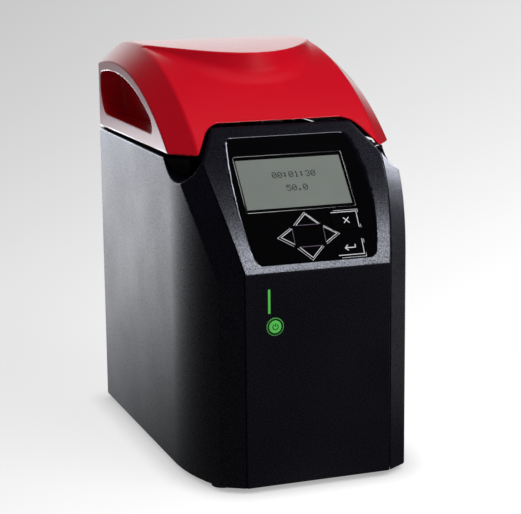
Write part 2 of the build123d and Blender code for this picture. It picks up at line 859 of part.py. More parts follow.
with BuildPart() as status_light_bar:
    with BuildSketch(Plane.XZ.offset(-front_y)):
        with Locations((bar_left + bar_width / 2, body_bottom + bar_bottom + bar_length / 2)):
            Rectangle(bar_width, bar_length)
    extrude(amount=-panel_wall)
    with BuildSketch(Plane.XZ.offset(-front_y - panel_wall)):
        with Locations((bar_left + bar_width / 2, body_bottom + bar_bottom + bar_length / 2)):
            Rectangle(3 * bar_width, bar_length + 2 * bar_width)
    extrude(amount=-bar_width)
status_light_bar.part.label = "status_light_bar"
export_step(status_light_bar.part, "parts/status_light_bar.step")

board_back = front_y + panel_wall + main_board_gap + board_thickness
with BuildPart() as main_board:
    with BuildSketch(Plane.XZ.offset(-board_back)):
        with Locations((0, body_bottom + main_board_height)):
            RectangleRounded(main_board_width, main_board_tall, 2.0)
    extrude(amount=board_thickness)
    with BuildSketch(Plane.XZ.offset(-board_back)):
        with Locations((0, body_bottom + main_board_height)):
            with GridLocations(main_board_width / 3, main_board_tall / 2, 3, 2):
                Rectangle(main_board_width / 8, main_board_tall / 6)
    extrude(amount=-2 * board_thickness)
main_board.part.label = "main_board"
export_step(main_board.part, "parts/main_board.step")

# ---------------------------------------------------------------- lid
def brow_outline(height, reach_depth, curve):
    """Outline of the lid's raised brow from above: a parabola in front, straight sides."""
    with BuildSketch(Plane.XY.offset(height)) as outline:
        with BuildLine():
            count = 8
            points = []
            for step in range(2 * count + 1):
                x = brow_half_width * (step - count) / count
                points.append((x, front_y + reach_depth + curve * x**2))
            front = Spline(*points)
            rear = front_y + brow_rear_depth
            Polyline(front @ 1, (brow_half_width, rear), (-brow_half_width, rear), front @ 0)
        make_face()
    return outline.sketch


def brow_form(inset):
    """Raised brow: lofted from its foot inside the crown up to its crisp upper edge."""
    with BuildPart() as brow:
        loft([
            brow_outline(body_bottom + brow_foot_height, brow_foot_depth + inset, brow_foot_curve),
            brow_outline(body_bottom + brow_top_height, brow_front_depth + inset, brow_curve),
        ])
        with BuildSketch(Plane.YZ):
            with Locations((crown_y, body_bottom + brow_top_height - brow_top_radius)):
                Circle(brow_top_radius - inset)
        extrude(amount=half_width, both=True, mode=Mode.INTERSECT)
    return brow.part


def lid_form(inset, brow=True):
    """Solid form of the lid, drawn in by inset: a turned crown and flanks, cut by its rim."""
    side = half_width - inset
    with BuildPart() as form:
        with BuildSketch(Plane.XY) as section:
            with BuildLine():
                axis_line = Line((0, 0), (side, 0))
                edge = Line(axis_line @ 1, (side, flank_radius - inset))
                flank = Line(edge @ 1, (shoulder_half_width - inset / 2, crown_radius - inset))
                Line(flank @ 1, (0, crown_radius - inset))
                mirror(about=Plane.YZ)
            make_face()
        revolve(axis=Axis.X)
    with BuildPart() as lid:
        add(form.part.moved(Location((0, crown_y, crown_z))))
        profile = crown_profile(0, front_y + lid_rear_depth - inset, rear_radius=lid_rear_radius)
        extrude(profile, amount=half_width,
                both=True, mode=Mode.INTERSECT)
        with BuildSketch(Plane.YZ):
            with BuildLine():
                Polyline(
                    (front_y, body_bottom + lid_front_height),
                    (front_y + lid_rear_depth, body_bottom + lid_rear_height),
                    (front_y + lid_rear_depth, 2 * body_top),
                    (front_y, 2 * body_top),
                    close=True,
                )
            make_face()
        extrude(amount=half_width, both=True, mode=Mode.INTERSECT)
        extrude(plan_outline(inset, body_top), amount=body_top, mode=Mode.INTERSECT)
        if brow:
            add(brow_form(inset))
    return lid.part


def notch_form(grow):
    """Room over the console's tongue, cut through the front of the lid."""
    with BuildPart() as notch:
        with BuildSketch(Plane.XZ.offset(-front_y)) as front_view:
            with BuildLine():
                Polyline(
                    (-notch_foot_half - grow, body_bottom + notch_foot_height - 2 * wall),
                    (-notch_foot_half - grow, body_bottom + notch_foot_height),
                    (-notch_half_width - grow, body_bottom + notch_height + grow),
                    (notch_half_width + grow, body_bottom + notch_height + grow),
                    (notch_foot_half + grow, body_bottom + notch_foot_height),
                    (notch_foot_half + grow, body_bottom + notch_foot_height - 2 * wall),
                    close=True,
                )
            make_face()
            fillet(front_view.vertices().group_by(Axis.Y)[-1], notch_corner_radius)
        extrude(amount=-(notch_depth + grow))
    return notch.part


def grip_outline(grow):
    """The grip pocket's mouth seen from the side."""
    with BuildSketch(Plane.YZ) as outline:
        with BuildLine():
            front = front_y + grip_front_depth
            rear = front_y + grip_rear_depth
            middle = (front + rear) / 2
            bottom = body_bottom + grip_bottom_height
            rise = Line((front, bottom), (front, crown_top(grip_radius, front)))
            roof_middle = (middle, crown_top(grip_radius, middle))
            roof = ThreePointArc(rise @ 1, roof_middle, (rear, crown_top(grip_radius, rear)))
            back = Line(roof @ 1, (rear, bottom))
            Line(back @ 1, rise @ 0)
        make_face()
        rear_low = outline.vertices().group_by(Axis.Y)[0].sort_by(Axis.X)[-1]
        fillet(rear_low, grip_rear_corner_radius)
        fillet(outline.vertices().group_by(Axis.X)[0], grip_corner_radius)
        fillet(outline.vertices().sort_by(Axis.Y)[-1], grip_corner_radius)
        if grow > 0:
            offset(amount=grow)
    return outline.sketch


def grip_pockets(grow):
    """Both grip pockets, run in from the lid's sides."""
    with BuildPart() as pockets:
        extrude(grip_outline(grow), amount=half_width, both=True)
        with BuildSketch(Plane.XZ):
            Rectangle(2 * (half_width - grip_inset - grow), 4 * body_top)
        extrude(amount=depth, both=True, mode=Mode.SUBTRACT)
    return pockets.part


def crown_cylinder(radius):
    with BuildPart() as cylinder:
        with BuildSketch(Plane.YZ):
            with Locations((crown_y, crown_z)):
                Circle(radius)
        extrude(amount=half_width, both=True)
    return cylinder.part


lid_outer = lid_form(0)
lid_inner = lid_form(wall)
liner_outer_inset = wall + liner_gap
liner_inner_inset = liner_outer_inset + liner_thickness

with BuildPart() as lid_shell:
    add(lid_outer)
    add(lid_inner, mode=Mode.SUBTRACT)
    add(lid_outer & grip_pockets(wall))
    add(grip_pockets(0), mode=Mode.SUBTRACT)
    add(notch_form(0), mode=Mode.SUBTRACT)
    add(hinge_notches(body_top, hinge_z + hinge_knuckle_radius + hinge_gap), mode=Mode.SUBTRACT)
lid_shell.part.label = "lid_shell"
export_step(lid_shell.part, "parts/lid_shell.step")

with BuildPart() as lid_liner:
    add(lid_form(liner_outer_inset, brow=False))
    add(lid_form(liner_inner_inset, brow=False), mode=Mode.SUBTRACT)
    add(grip_pockets(wall + liner_gap), mode=Mode.SUBTRACT)
    add(notch_form(wall + liner_gap), mode=Mode.SUBTRACT)
    for hinge_x in hinge_places:
        with BuildSketch(Plane.XY.offset(body_top)):
            with Locations((hinge_x, hinge_y)):
                Rectangle(hinge_leaf_length + 8 * hinge_gap, 6 * hinge_knuckle_radius)
        extrude(amount=hinge_arm + 2 * hinge_gap + hinge_height - body_height, mode=Mode.SUBTRACT)
lid_liner.part.label = "lid_liner"
export_step(lid_liner.part, "parts/lid_liner.step")

# ---------------------------------------------------------------- hinges and latch
knuckle_length = (hinge_leaf_length - 2 * hinge_gap) / 3


def barrel(x, length, radius):
    """Sketch-extruded barrel on the hinge axis, centred on x."""
    with BuildPart() as piece:
        with BuildSketch(Plane.YZ.offset(x - length / 2)):
            with Locations((hinge_y, hinge_z)):
                Circle(radius)
        extrude(amount=length)
    return piece.part


with BuildPart() as hinge_brackets:
    for hinge_x in hinge_places:
        for side in (-1, 1):
            knuckle_x = hinge_x + side * (knuckle_length + hinge_gap)
            add(barrel(knuckle_x, knuckle_length, hinge_knuckle_radius))
            with BuildSketch(Plane.YZ.offset(knuckle_x - knuckle_length / 2)):
                with BuildLine():
                    rear = rear_y - wall - parting
                    web_front = hinge_y - hinge_knuckle_radius
                    Polyline(
                        (rear, deck_top), (rear, hinge_z), (web_front, hinge_z), (web_front, deck_top), close=True
                    )
                make_face()
            extrude(amount=knuckle_length)
        with BuildSketch(Plane.XY.offset(deck_top)):
            with Locations((hinge_x, rear_y - wall - parting - hinge_foot / 2)):
                RectangleRounded(hinge_leaf_length, hinge_foot, 1.0)
        extrude(amount=plate_thickness / 2)
    for hinge_x in hinge_places:
        add(barrel(hinge_x, hinge_leaf_length + wall, hinge_pin_radius + hinge_pin_clearance), mode=Mode.SUBTRACT)
hinge_brackets.part.label = "hinge_brackets"
export_step(hinge_brackets.part, "parts/hinge_brackets.step")

with BuildPart() as hinge_leaves:
    for hinge_x in hinge_places:
        add(barrel(hinge_x, knuckle_length, hinge_knuckle_radius))
        with BuildSketch(Plane.XZ.offset(-(hinge_y - hinge_knuckle_radius))):
            with BuildLine():
                arm_bottom = hinge_z + hinge_knuckle_radius + hinge_gap
                half = knuckle_length / 2
                Polyline(
                    (hinge_x - half, hinge_z),
                    (hinge_x + half, hinge_z),
                    (hinge_x + half, arm_bottom),
                    (hinge_x + hinge_leaf_length / 2, arm_bottom),
                    (hinge_x + hinge_leaf_length / 2, hinge_z + hinge_arm),
                    (hinge_x - hinge_leaf_length / 2, hinge_z + hinge_arm),
                    (hinge_x - hinge_leaf_length / 2, arm_bottom),
                    (hinge_x - half, arm_bottom),
                    close=True,
                )
            make_face()
        extrude(amount=-(lid_rear_depth - wall - hinge_depth + hinge_knuckle_radius))
    for hinge_x in hinge_places:
        add(barrel(hinge_x, hinge_leaf_length, hinge_pin_radius), mode=Mode.SUBTRACT)
hinge_leaves.part.label = "hinge_leaves"
export_step(hinge_leaves.part, "parts/hinge_leaves.step")

with BuildPart() as hinge_pins:
    for hinge_x in hinge_places:
        add(barrel(hinge_x, hinge_leaf_length, hinge_pin_radius))
hinge_pins.part.label = "hinge_pins"
export_step(hinge_pins.part, "parts/hinge_pins.step")

latch_y = front_y + latch_depth
with BuildPart() as latch_hook:
    with BuildSketch(Plane.YZ.offset(-latch_width / 2)):
        with BuildLine():
            low = deck_bottom - latch_drop
            Polyline(
                (latch_y, low),
                (latch_y + latch_nose, low),
                (latch_y + latch_nose, low + latch_nose),
                (latch_y + latch_thickness, low + 2 * latch_nose),
                (latch_y + latch_thickness, crown_z + crown_radius),
                (latch_y, crown_z + crown_radius),
                close=True,
            )
        make_face()
    extrude(amount=latch_width)
    add(crown_cylinder(crown_radius - liner_inner_inset), mode=Mode.INTERSECT)
latch_hook.part.label = "latch_hook"
export_step(latch_hook.part, "parts/latch_hook.step")

# ---------------------------------------------------------------- base plate, feet, deck
foot_places = []
for side in (-1, 1):
    foot_places.append((side * (half_width - foot_inset_x), front_y + foot_front_inset))
    foot_places.append((side * (half_width - foot_inset_x), rear_y - foot_rear_inset))
base_top = body_bottom + plate_thickness

with BuildPart() as base_plate:
    extrude(plan_outline(panel_wall + parting, body_bottom), amount=plate_thickness)
    with Locations(Plane.XY.offset(base_top)):
        with Locations(*foot_places):
            Hole(foot_screw_radius + fit_clearance)
base_plate.part.label = "base_plate"
export_step(base_plate.part, "parts/base_plate.step")

with BuildPart() as rubber_feet:
    with BuildSketch(Plane.XY.offset(foot_height)):
        with Locations(*foot_places):
            Circle(foot_radius)
    extrude(amount=-foot_height, taper=foot_taper)
    with BuildSketch(Plane.XY):
        with Locations(*foot_places):
            Circle(foot_screw_head + fit_clearance)
    extrude(amount=foot_height / 2, mode=Mode.SUBTRACT)
    with BuildSketch(Plane.XY):
        with Locations(*foot_places):
            Circle(foot_screw_radius + fit_clearance)
    extrude(amount=foot_height, mode=Mode.SUBTRACT)
rubber_feet.part.label = "rubber_feet"
export_step(rubber_feet.part, "parts/rubber_feet.step")

with BuildPart() as foot_screws:
    with BuildSketch(Plane.XY.offset(foot_height / 2)):
        with Locations(*foot_places):
            Circle(foot_screw_head)
    extrude(amount=-foot_screw_head_height)
    with BuildSketch(Plane.XY.offset(foot_height / 2)):
        with Locations(*foot_places):
            Circle(foot_screw_radius)
    extrude(amount=foot_height / 2 + plate_thickness)
    with BuildSketch(Plane.XY.offset(foot_height / 2 - foot_screw_head_height)):
        with Locations(*foot_places):
            RegularPolygon(foot_screw_hex, 6)
    extrude(amount=foot_screw_head_height / 2, mode=Mode.SUBTRACT)
foot_screws.part.label = "foot_screws"
export_step(foot_screws.part, "parts/foot_screws.step")

chamber_y = front_y + chamber_depth
deck_screw_places = []
for side in (-1, 1):
    for screw_depth in deck_screw_depths:
        screw_x = half_width - wall - ledge + deck_screw_margin
        deck_screw_places.append((side * screw_x, front_y + screw_depth))
for side in (-1, 1):
    deck_screw_places.append((side * deck_rear_screw_x, rear_y - wall - ledge + deck_screw_margin))

with BuildPart() as top_deck:
    extrude(plan_outline(wall + parting, deck_bottom), amount=deck_thickness)
    with BuildSketch(Plane.XY.offset(deck_bottom)):
        with Locations((0, front_y + (tongue_depth - wall) / 2)):
            Rectangle(width, tongue_depth - wall)
    extrude(amount=deck_thickness, mode=Mode.SUBTRACT)
    add(scoop_bore(wall + parting), mode=Mode.SUBTRACT)
    with BuildSketch(Plane.XY.offset(deck_bottom)):
        with Locations((0, chamber_y)):
            Circle(bowl_radius + parting)
        with Locations((0, latch_y + (latch_nose + latch_clearance) / 2)):
            Rectangle(latch_width + 2 * latch_clearance, latch_nose + 2 * latch_clearance)
        with Locations(*deck_screw_places):
            Circle(deck_screw_radius + fit_clearance)
        with Locations((lid_switch_x, latch_y)):
            Circle(lid_switch_radius + fit_clearance)
    extrude(amount=deck_thickness, mode=Mode.SUBTRACT)
top_deck.part.label = "top_deck"
export_step(top_deck.part, "parts/top_deck.step")

with BuildPart() as deck_screws:
    with BuildSketch(Plane.XY.offset(deck_top)):
        with Locations(*deck_screw_places):
            Circle(deck_screw_head_radius)
    extrude(amount=deck_screw_head)
    with BuildSketch(Plane.XY.offset(deck_top)):
        with Locations(*deck_screw_places):
            Circle(deck_screw_radius)
    extrude(amount=-deck_thickness)
    with BuildSketch(Plane.XY.offset(deck_top + deck_screw_head)):
        with Locations(*deck_screw_places):
            RegularPolygon(deck_screw_radius, 6)
    extrude(amount=-deck_screw_head / 2, mode=Mode.SUBTRACT)
deck_screws.part.label = "deck_screws"
export_step(deck_screws.part, "parts/deck_screws.step")

with BuildPart() as rim_seals:
    seal_top = body_bottom + lid_rear_height - rim_seal_gap
    extrude(plan_outline(rim_seal_inset, deck_top), amount=seal_top - deck_top)
    seal_inner = plan_outline(rim_seal_inset + rim_seal_width, deck_top)
    extrude(seal_inner, amount=seal_top - deck_top, mode=Mode.SUBTRACT)
    for cut_y, cut_depth in ((front_y, 2 * rim_seal_front), (rear_y, 2 * rim_seal_rear)):
        with BuildSketch(Plane.XY.offset(deck_top)):
            with Locations((0, cut_y)):
                Rectangle(width, cut_depth)
        extrude(amount=seal_top - deck_top, mode=Mode.SUBTRACT)
rim_seals.part.label = "rim_seals"
export_step(rim_seals.part, "parts/rim_seals.step")

with BuildPart() as latch_unit:
    unit_top = deck_bottom - latch_drop - 2 * latch_clearance
    with BuildSketch(Plane.XY.offset(deck_bottom)):
        with Locations((0, latch_y + latch_unit_depth / 2)):
            Rectangle(latch_unit_width, latch_unit_depth)
    extrude(amount=-latch_unit_height)
    with BuildSketch(Plane.XY.offset(deck_bottom)):
        with Locations((0, latch_y + (latch_nose + latch_clearance) / 2)):
            Rectangle(latch_width + 2 * latch_clearance, latch_nose + 2 * latch_clearance)
    extrude(amount=unit_top - deck_bottom, mode=Mode.SUBTRACT)
latch_unit.part.label = "latch_unit"
export_step(latch_unit.part, "parts/latch_unit.step")

with BuildPart() as lid_switch:
    with BuildSketch(Plane.XY.offset(deck_bottom)):
        with Locations((lid_switch_x, latch_y)):
            RectangleRounded(6 * lid_switch_radius, 4 * lid_switch_radius, 1.0)
    extrude(amount=-lid_switch_height)
    with BuildSketch(Plane.XY.offset(deck_bottom)):
        with Locations((lid_switch_x, latch_y)):
            Circle(lid_switch_radius)
    extrude(amount=lid_switch_pin)
lid_switch.part.label = "lid_switch"
export_step(lid_switch.part, "parts/lid_switch.step")

# ---------------------------------------------------------------- chassis and motor
plate_top = body_bottom + motor_plate_height
plate_bottom = plate_top - motor_plate_thickness
pillar_places = []
for side in (-1, 1):
    for end in (-1, 1):
        pillar_places.append(
            (
                side * (motor_plate_width / 2 - pillar_inset),
                chamber_y + end * (motor_plate_depth / 2 - pillar_inset),
            )
        )

with BuildPart() as chassis_pillars:
    with BuildSketch(Plane.XY.offset(base_top)):
        with Locations(*pillar_places):
            RectangleRounded(pillar_side, pillar_side, 2.0)
            RectangleRounded(pillar_side - 2 * wall, pillar_side - 2 * wall, 1.0, mode=Mode.SUBTRACT)
    extrude(amount=plate_bottom - isolator_height - base_top)
chassis_pillars.part.label = "chassis_pillars"
export_step(chassis_pillars.part, "parts/chassis_pillars.step")

with BuildPart() as isolators:
    with BuildSketch(Plane.XY.offset(plate_bottom - isolator_height)):
        with Locations(*pillar_places):
            Circle(isolator_radius)
    extrude(amount=isolator_height)
    fillet(isolators.faces().filter_by(Axis.Z).edges(), isolator_round)
isolators.part.label = "isolators"
export_step(isolators.part, "parts/isolators.step")

with BuildPart() as motor_plate:
    with BuildSketch(Plane.XY.offset(plate_bottom)):
        with Locations((0, chamber_y)):
            RectangleRounded(motor_plate_width, motor_plate_depth, motor_plate_corner)
            Circle(shaft_radius + motor_bore_clearance, mode=Mode.SUBTRACT)
            with GridLocations(motor_plate_width / 2, motor_plate_depth / 2, 2, 2):
                Circle(deck_screw_radius, mode=Mode.SUBTRACT)
    extrude(amount=motor_plate_thickness)
motor_plate.part.label = "motor_plate"
export_step(motor_plate.part, "parts/motor_plate.step")

can_bottom = plate_bottom - motor_length
chamber_axis = Plane.XY.move(Location((0, chamber_y, 0)))

with BuildPart() as motor_can:
    with BuildSketch(chamber_axis.offset(can_bottom)):
        Circle(motor_radius)
    extrude(amount=motor_length)
    with BuildSketch(chamber_axis.offset(can_bottom + motor_wall)):
        Circle(motor_radius - motor_wall)
    extrude(amount=motor_length - 2 * motor_wall, mode=Mode.SUBTRACT)
    with BuildSketch(chamber_axis.offset(can_bottom)):
        Circle(shaft_radius + fit_clearance)
    extrude(amount=motor_length, mode=Mode.SUBTRACT)
    with BuildSketch(chamber_axis.offset(can_bottom)):
        with PolarLocations(vent_circle, vent_count):
            SlotOverall(vent_length, motor_wall)
    extrude(amount=motor_wall, mode=Mode.SUBTRACT)
motor_can.part.label = "motor_can"
export_step(motor_can.part, "parts/motor_can.step")

with BuildPart() as motor_stator:
    with BuildSketch(chamber_axis.offset(can_bottom + 3 * motor_wall)):
        Circle(motor_radius - motor_wall)
        Circle(rotor_radius + motor_bore_clearance, mode=Mode.SUBTRACT)
        with PolarLocations(rotor_radius + 3 * motor_bore_clearance, stator_slots):
            Circle(stator_slot_radius, mode=Mode.SUBTRACT)
    extrude(amount=motor_length - 6 * motor_wall)
motor_stator.part.label = "motor_stator"
export_step(motor_stator.part, "parts/motor_stator.step")

with BuildPart() as motor_rotor:
    with BuildSketch(chamber_axis.offset(can_bottom + 3 * motor_wall)):
        Circle(rotor_radius)
        Circle(shaft_radius, mode=Mode.SUBTRACT)
    extrude(amount=motor_length - 6 * motor_wall)
motor_rotor.part.label = "motor_rotor"
export_step(motor_rotor.part, "parts/motor_rotor.step")

bearing_bottoms = (plate_top + bearing_seat, plate_top + housing_height - bearing_width)
with BuildPart() as bearing_housing:
    with BuildSketch(chamber_axis.offset(plate_top)):
        Circle(housing_radius + housing_flange)
    extrude(amount=bearing_seat)
    with BuildSketch(chamber_axis.offset(plate_top)):
        Circle(housing_radius)
    extrude(amount=housing_height)
    with BuildSketch(chamber_axis.offset(plate_top)):
        Circle(shaft_radius + motor_bore_clearance)
    extrude(amount=housing_height, mode=Mode.SUBTRACT)
    for bearing_bottom in bearing_bottoms:
        with BuildSketch(chamber_axis.offset(bearing_bottom)):
            Circle(bearing_outer_radius)
        extrude(amount=bearing_width, mode=Mode.SUBTRACT)
    with BuildSketch(chamber_axis.offset(plate_top)):
        with PolarLocations(housing_radius + housing_flange / 2, 4, start_angle=45):
            Circle(deck_screw_radius)
    extrude(amount=bearing_seat, mode=Mode.SUBTRACT)
bearing_housing.part.label = "bearing_housing"
export_step(bearing_housing.part, "parts/bearing_housing.step")

with BuildPart() as shaft_bearings:
    for bearing_bottom in bearing_bottoms:
        with BuildSketch(chamber_axis.offset(bearing_bottom)):
            Circle(bearing_outer_radius)
            Circle(shaft_radius + fit_clearance, mode=Mode.SUBTRACT)
        extrude(amount=bearing_width)
shaft_bearings.part.label = "shaft_bearings"
export_step(shaft_bearings.part, "parts/shaft_bearings.step")

# ---------------------------------------------------------------- chamber
bowl_floor = deck_top - bowl_drop
with BuildPart() as chamber_bowl:
    with BuildSketch(Plane.XZ.offset(-chamber_y)) as bowl_section:
        with BuildLine():
            inner = bowl_radius - bowl_wall
            Polyline(
                (neck_radius, bowl_floor + neck_rise),
                (neck_radius, bowl_floor),
                (bowl_radius, bowl_floor),
                (bowl_radius, deck_top),
                (bowl_radius + bowl_flange, deck_top),
                (bowl_radius + bowl_flange, deck_top + bowl_wall),
                (inner, deck_top + bowl_wall),
                (inner, bowl_floor + bowl_wall),
                (neck_radius + bowl_wall, bowl_floor + bowl_wall),
                (neck_radius + bowl_wall, bowl_floor + neck_rise),
                close=True,
            )
        make_face()
        bowl_corner = bowl_section.vertices().sort_by(Axis.Y)[:2].sort_by(Axis.X)[-1]
        fillet(bowl_corner, bowl_corner_radius + bowl_wall)
        inner_corner = bowl_section.vertices().filter_by(
            lambda v: abs(v.X - inner) < 0.01 and abs(v.Y - bowl_floor - bowl_wall) < 0.01
        )
        fillet(inner_corner, bowl_corner_radius)
    revolve(axis=Axis((0, chamber_y, 0), (0, 0, 1)))
chamber_bowl.part.label = "chamber_bowl"
export_step(chamber_bowl.part, "parts/chamber_bowl.step")

with BuildPart() as shaft_seal:
    with BuildSketch(chamber_axis.offset(bowl_floor - wall)):
        Circle(neck_radius)
        Circle(shaft_radius + seal_clearance, mode=Mode.SUBTRACT)
    extrude(amount=wall + neck_rise)
    with BuildSketch(chamber_axis.offset(bowl_floor - 2 * wall)):
        Circle(neck_radius + wall)
        Circle(shaft_radius + seal_clearance, mode=Mode.SUBTRACT)
    extrude(amount=2 * wall - seal_clearance)
shaft_seal.part.label = "shaft_seal"
export_step(shaft_seal.part, "parts/shaft_seal.step")

post_top = body_bottom + pivot_height - magnet_drop
with BuildPart() as magnet_posts:
    with BuildSketch(chamber_axis.offset(bowl_floor + bowl_wall)):
        with PolarLocations(magnet_circle, magnet_count, start_angle=30):
            Circle(magnet_radius + 1.0)
    extrude(amount=post_top - magnet_thickness - bowl_floor - bowl_wall)
magnet_posts.part.label = "magnet_posts"
export_step(magnet_posts.part, "parts/magnet_posts.step")

with BuildPart() as post_magnets:
    with BuildSketch(chamber_axis.offset(post_top - magnet_thickness)):
        with PolarLocations(magnet_circle, magnet_count, start_angle=30):
            Circle(magnet_radius)
    extrude(amount=magnet_thickness)
post_magnets.part.label = "post_magnets"
export_step(post_magnets.part, "parts/post_magnets.step")

# ---------------------------------------------------------------- wobble drive
pivot_z = body_bottom + pivot_height
tilted = Plane(
    origin=(0, chamber_y, pivot_z), x_dir=(1, 0, 0), z_dir=(0, -sin(radians(tilt)), cos(radians(tilt)))
)

with BuildPart() as drive_shaft:
    with BuildSketch(chamber_axis.offset(can_bottom + motor_bore_clearance)):
        Circle(shaft_radius)
    extrude(amount=pivot_z - can_bottom - motor_bore_clearance)
    chamfer(drive_shaft.edges().filter_by(GeomType.CIRCLE), 0.5)
drive_shaft.part.label = "drive_shaft"
export_step(drive_shaft.part, "parts/drive_shaft.step")

journal_half = wobble_bearing_width / 2
with BuildPart() as skew_hub:
    with BuildSketch(tilted.offset(-journal_half - hub_collar)):
        Circle(hub_collar_radius)
    extrude(amount=hub_collar)
    with BuildSketch(tilted.offset(-journal_half)):
        Circle(journal_radius)
    extrude(amount=wobble_bearing_width + hub_cap)
    with BuildSketch(chamber_axis.offset(pivot_z - journal_half - hub_collar - hub_skirt)):
        Circle(journal_radius)
    extrude(amount=hub_skirt + hub_collar / 2)
    add(drive_shaft.part, mode=Mode.SUBTRACT)
skew_hub.part.label = "skew_hub"
export_step(skew_hub.part, "parts/skew_hub.step")

inner_race = journal_radius + wobble_bearing_ring
outer_race = wobble_bearing_radius - wobble_bearing_ring
with BuildPart() as hub_bearing_inner:
    with BuildSketch(tilted.offset(-journal_half)):
        Circle(inner_race)
        Circle(journal_radius, mode=Mode.SUBTRACT)
    extrude(amount=wobble_bearing_width)
hub_bearing_inner.part.label = "hub_bearing_inner"
export_step(hub_bearing_inner.part, "parts/hub_bearing_inner.step")

with BuildPart() as hub_bearing_outer:
    with BuildSketch(tilted.offset(-journal_half)):
        Circle(wobble_bearing_radius)
        Circle(outer_race, mode=Mode.SUBTRACT)
    extrude(amount=wobble_bearing_width)
hub_bearing_outer.part.label = "hub_bearing_outer"
export_step(hub_bearing_outer.part, "parts/hub_bearing_outer.step")

with BuildPart() as bearing_balls:
    with Locations(tilted):
        with PolarLocations((inner_race + outer_race) / 2, ball_count):
            Sphere((outer_race - inner_race) / 2 - fit_clearance)
bearing_balls.part.label = "bearing_balls"
export_step(bearing_balls.part, "parts/bearing_balls.step")

disc_low = journal_half + carrier_gap
with BuildPart() as carrier:
    with BuildSketch(tilted.offset(disc_low)):
        Circle(carrier_radius)
    extrude(amount=carrier_thickness)
    with BuildSketch(tilted.offset(-journal_half)):
        Circle(wobble_bearing_radius + carrier_boss_wall)
    extrude(amount=disc_low + journal_half)
    with BuildSketch(tilted.offset(-journal_half)):
        Circle(wobble_bearing_radius)
    extrude(amount=wobble_bearing_width, mode=Mode.SUBTRACT)
    with BuildSketch(tilted.offset(journal_half)):
        Circle(outer_race)
    extrude(amount=carrier_gap, mode=Mode.SUBTRACT)
    with BuildSketch(tilted.offset(disc_low + carrier_thickness)):
        Circle(spigot_radius)
    extrude(amount=spigot_height)
carrier.part.label = "carrier"
export_step(carrier.part, "parts/carrier.step")

with BuildPart() as carrier_magnets:
    with BuildSketch(tilted.offset(disc_low)):
        with PolarLocations(magnet_circle, magnet_count, start_angle=30):
            Circle(magnet_radius)
    extrude(amount=-magnet_thickness)
carrier_magnets.part.label = "carrier_magnets"
export_step(carrier_magnets.part, "parts/carrier_magnets.step")

# ---------------------------------------------------------------- sample holder and knob
holder_low = disc_low + carrier_thickness + holder_seat
holder_high = holder_low + holder_thickness
with BuildPart() as sample_holder:
    with BuildSketch(tilted.offset(holder_low)):
        Circle(holder_radius)
    extrude(amount=holder_thickness)
    fillet(sample_holder.edges().filter_by(GeomType.CIRCLE).sort_by(Axis.Z)[-1], holder_round)
    with BuildSketch(tilted.offset(holder_high)):
        with PolarLocations(tube_circle, tube_count):
            Circle(tube_radius)
    extrude(amount=-tube_depth, mode=Mode.SUBTRACT)
    with BuildSketch(tilted.offset(holder_low)):
        Circle(spigot_radius + fit_clearance)
    extrude(amount=holder_thickness, mode=Mode.SUBTRACT)
    with BuildSketch(tilted.offset(holder_high)):
        Circle(holder_hub_radius + holder_groove_width)
        Circle(holder_hub_radius, mode=Mode.SUBTRACT)
    extrude(amount=-holder_groove_depth, mode=Mode.SUBTRACT)
sample_holder.part.label = "sample_holder"
export_step(sample_holder.part, "parts/sample_holder.step")

stem_low = disc_low + carrier_thickness + spigot_height + holder_seat
with BuildPart() as clamp_knob:
    with BuildSketch(tilted.offset(holder_high + holder_seat)) as knob_face:
        Circle(knob_radius - knob_waist)
        with PolarLocations(knob_radius - knob_lobe_radius, knob_lobes):
            Circle(knob_lobe_radius)
        fillet(knob_face.vertices(), knob_round)
    extrude(amount=knob_height)
    fillet(clamp_knob.faces().sort_by(Axis.Z)[-1].edges(), 2.0)
    with BuildSketch(tilted.offset(stem_low)):
        Circle(knob_stem_radius)
    extrude(amount=holder_high + holder_seat - stem_low)
clamp_knob.part.label = "clamp_knob"
export_step(clamp_knob.part, "parts/clamp_knob.step")

# ---------------------------------------------------------------- power supply and rear
supply_middle = front_y + supply_front + supply_depth / 2
with BuildPart() as power_supply:
    with BuildSketch(Plane.XY.offset(base_top)):
        with Locations((0, supply_middle)):
            RectangleRounded(supply_width, supply_depth, supply_wall)
    extrude(amount=supply_height)
    with BuildSketch(Plane.XY.offset(base_top + supply_wall)):
        with Locations((0, supply_middle)):
            Rectangle(supply_width - 2 * supply_wall, supply_depth - 2 * supply_wall)
    extrude(amount=supply_height - 2 * supply_wall, mode=Mode.SUBTRACT)
    with BuildSketch(Plane.XY.offset(base_top + supply_height)):
        with Locations((0, supply_middle)):
            with GridLocations(supply_vent_pitch, supply_vent_spacing, *supply_vents):
                SlotOverall(supply_vent_length, 2 * supply_wall, rotation=90)
    extrude(amount=-supply_wall, mode=Mode.SUBTRACT)
power_supply.part.label = "power_supply"
export_step(power_supply.part, "parts/power_supply.step")

rear_face = rear_y - wall
rear_window_middle = body_bottom + (rear_window_bottom + rear_window_top) / 2
rear_view = Plane.XZ.offset(-rear_face)
inlet_z = body_bottom + inlet_height
fan_z = body_bottom + fan_height

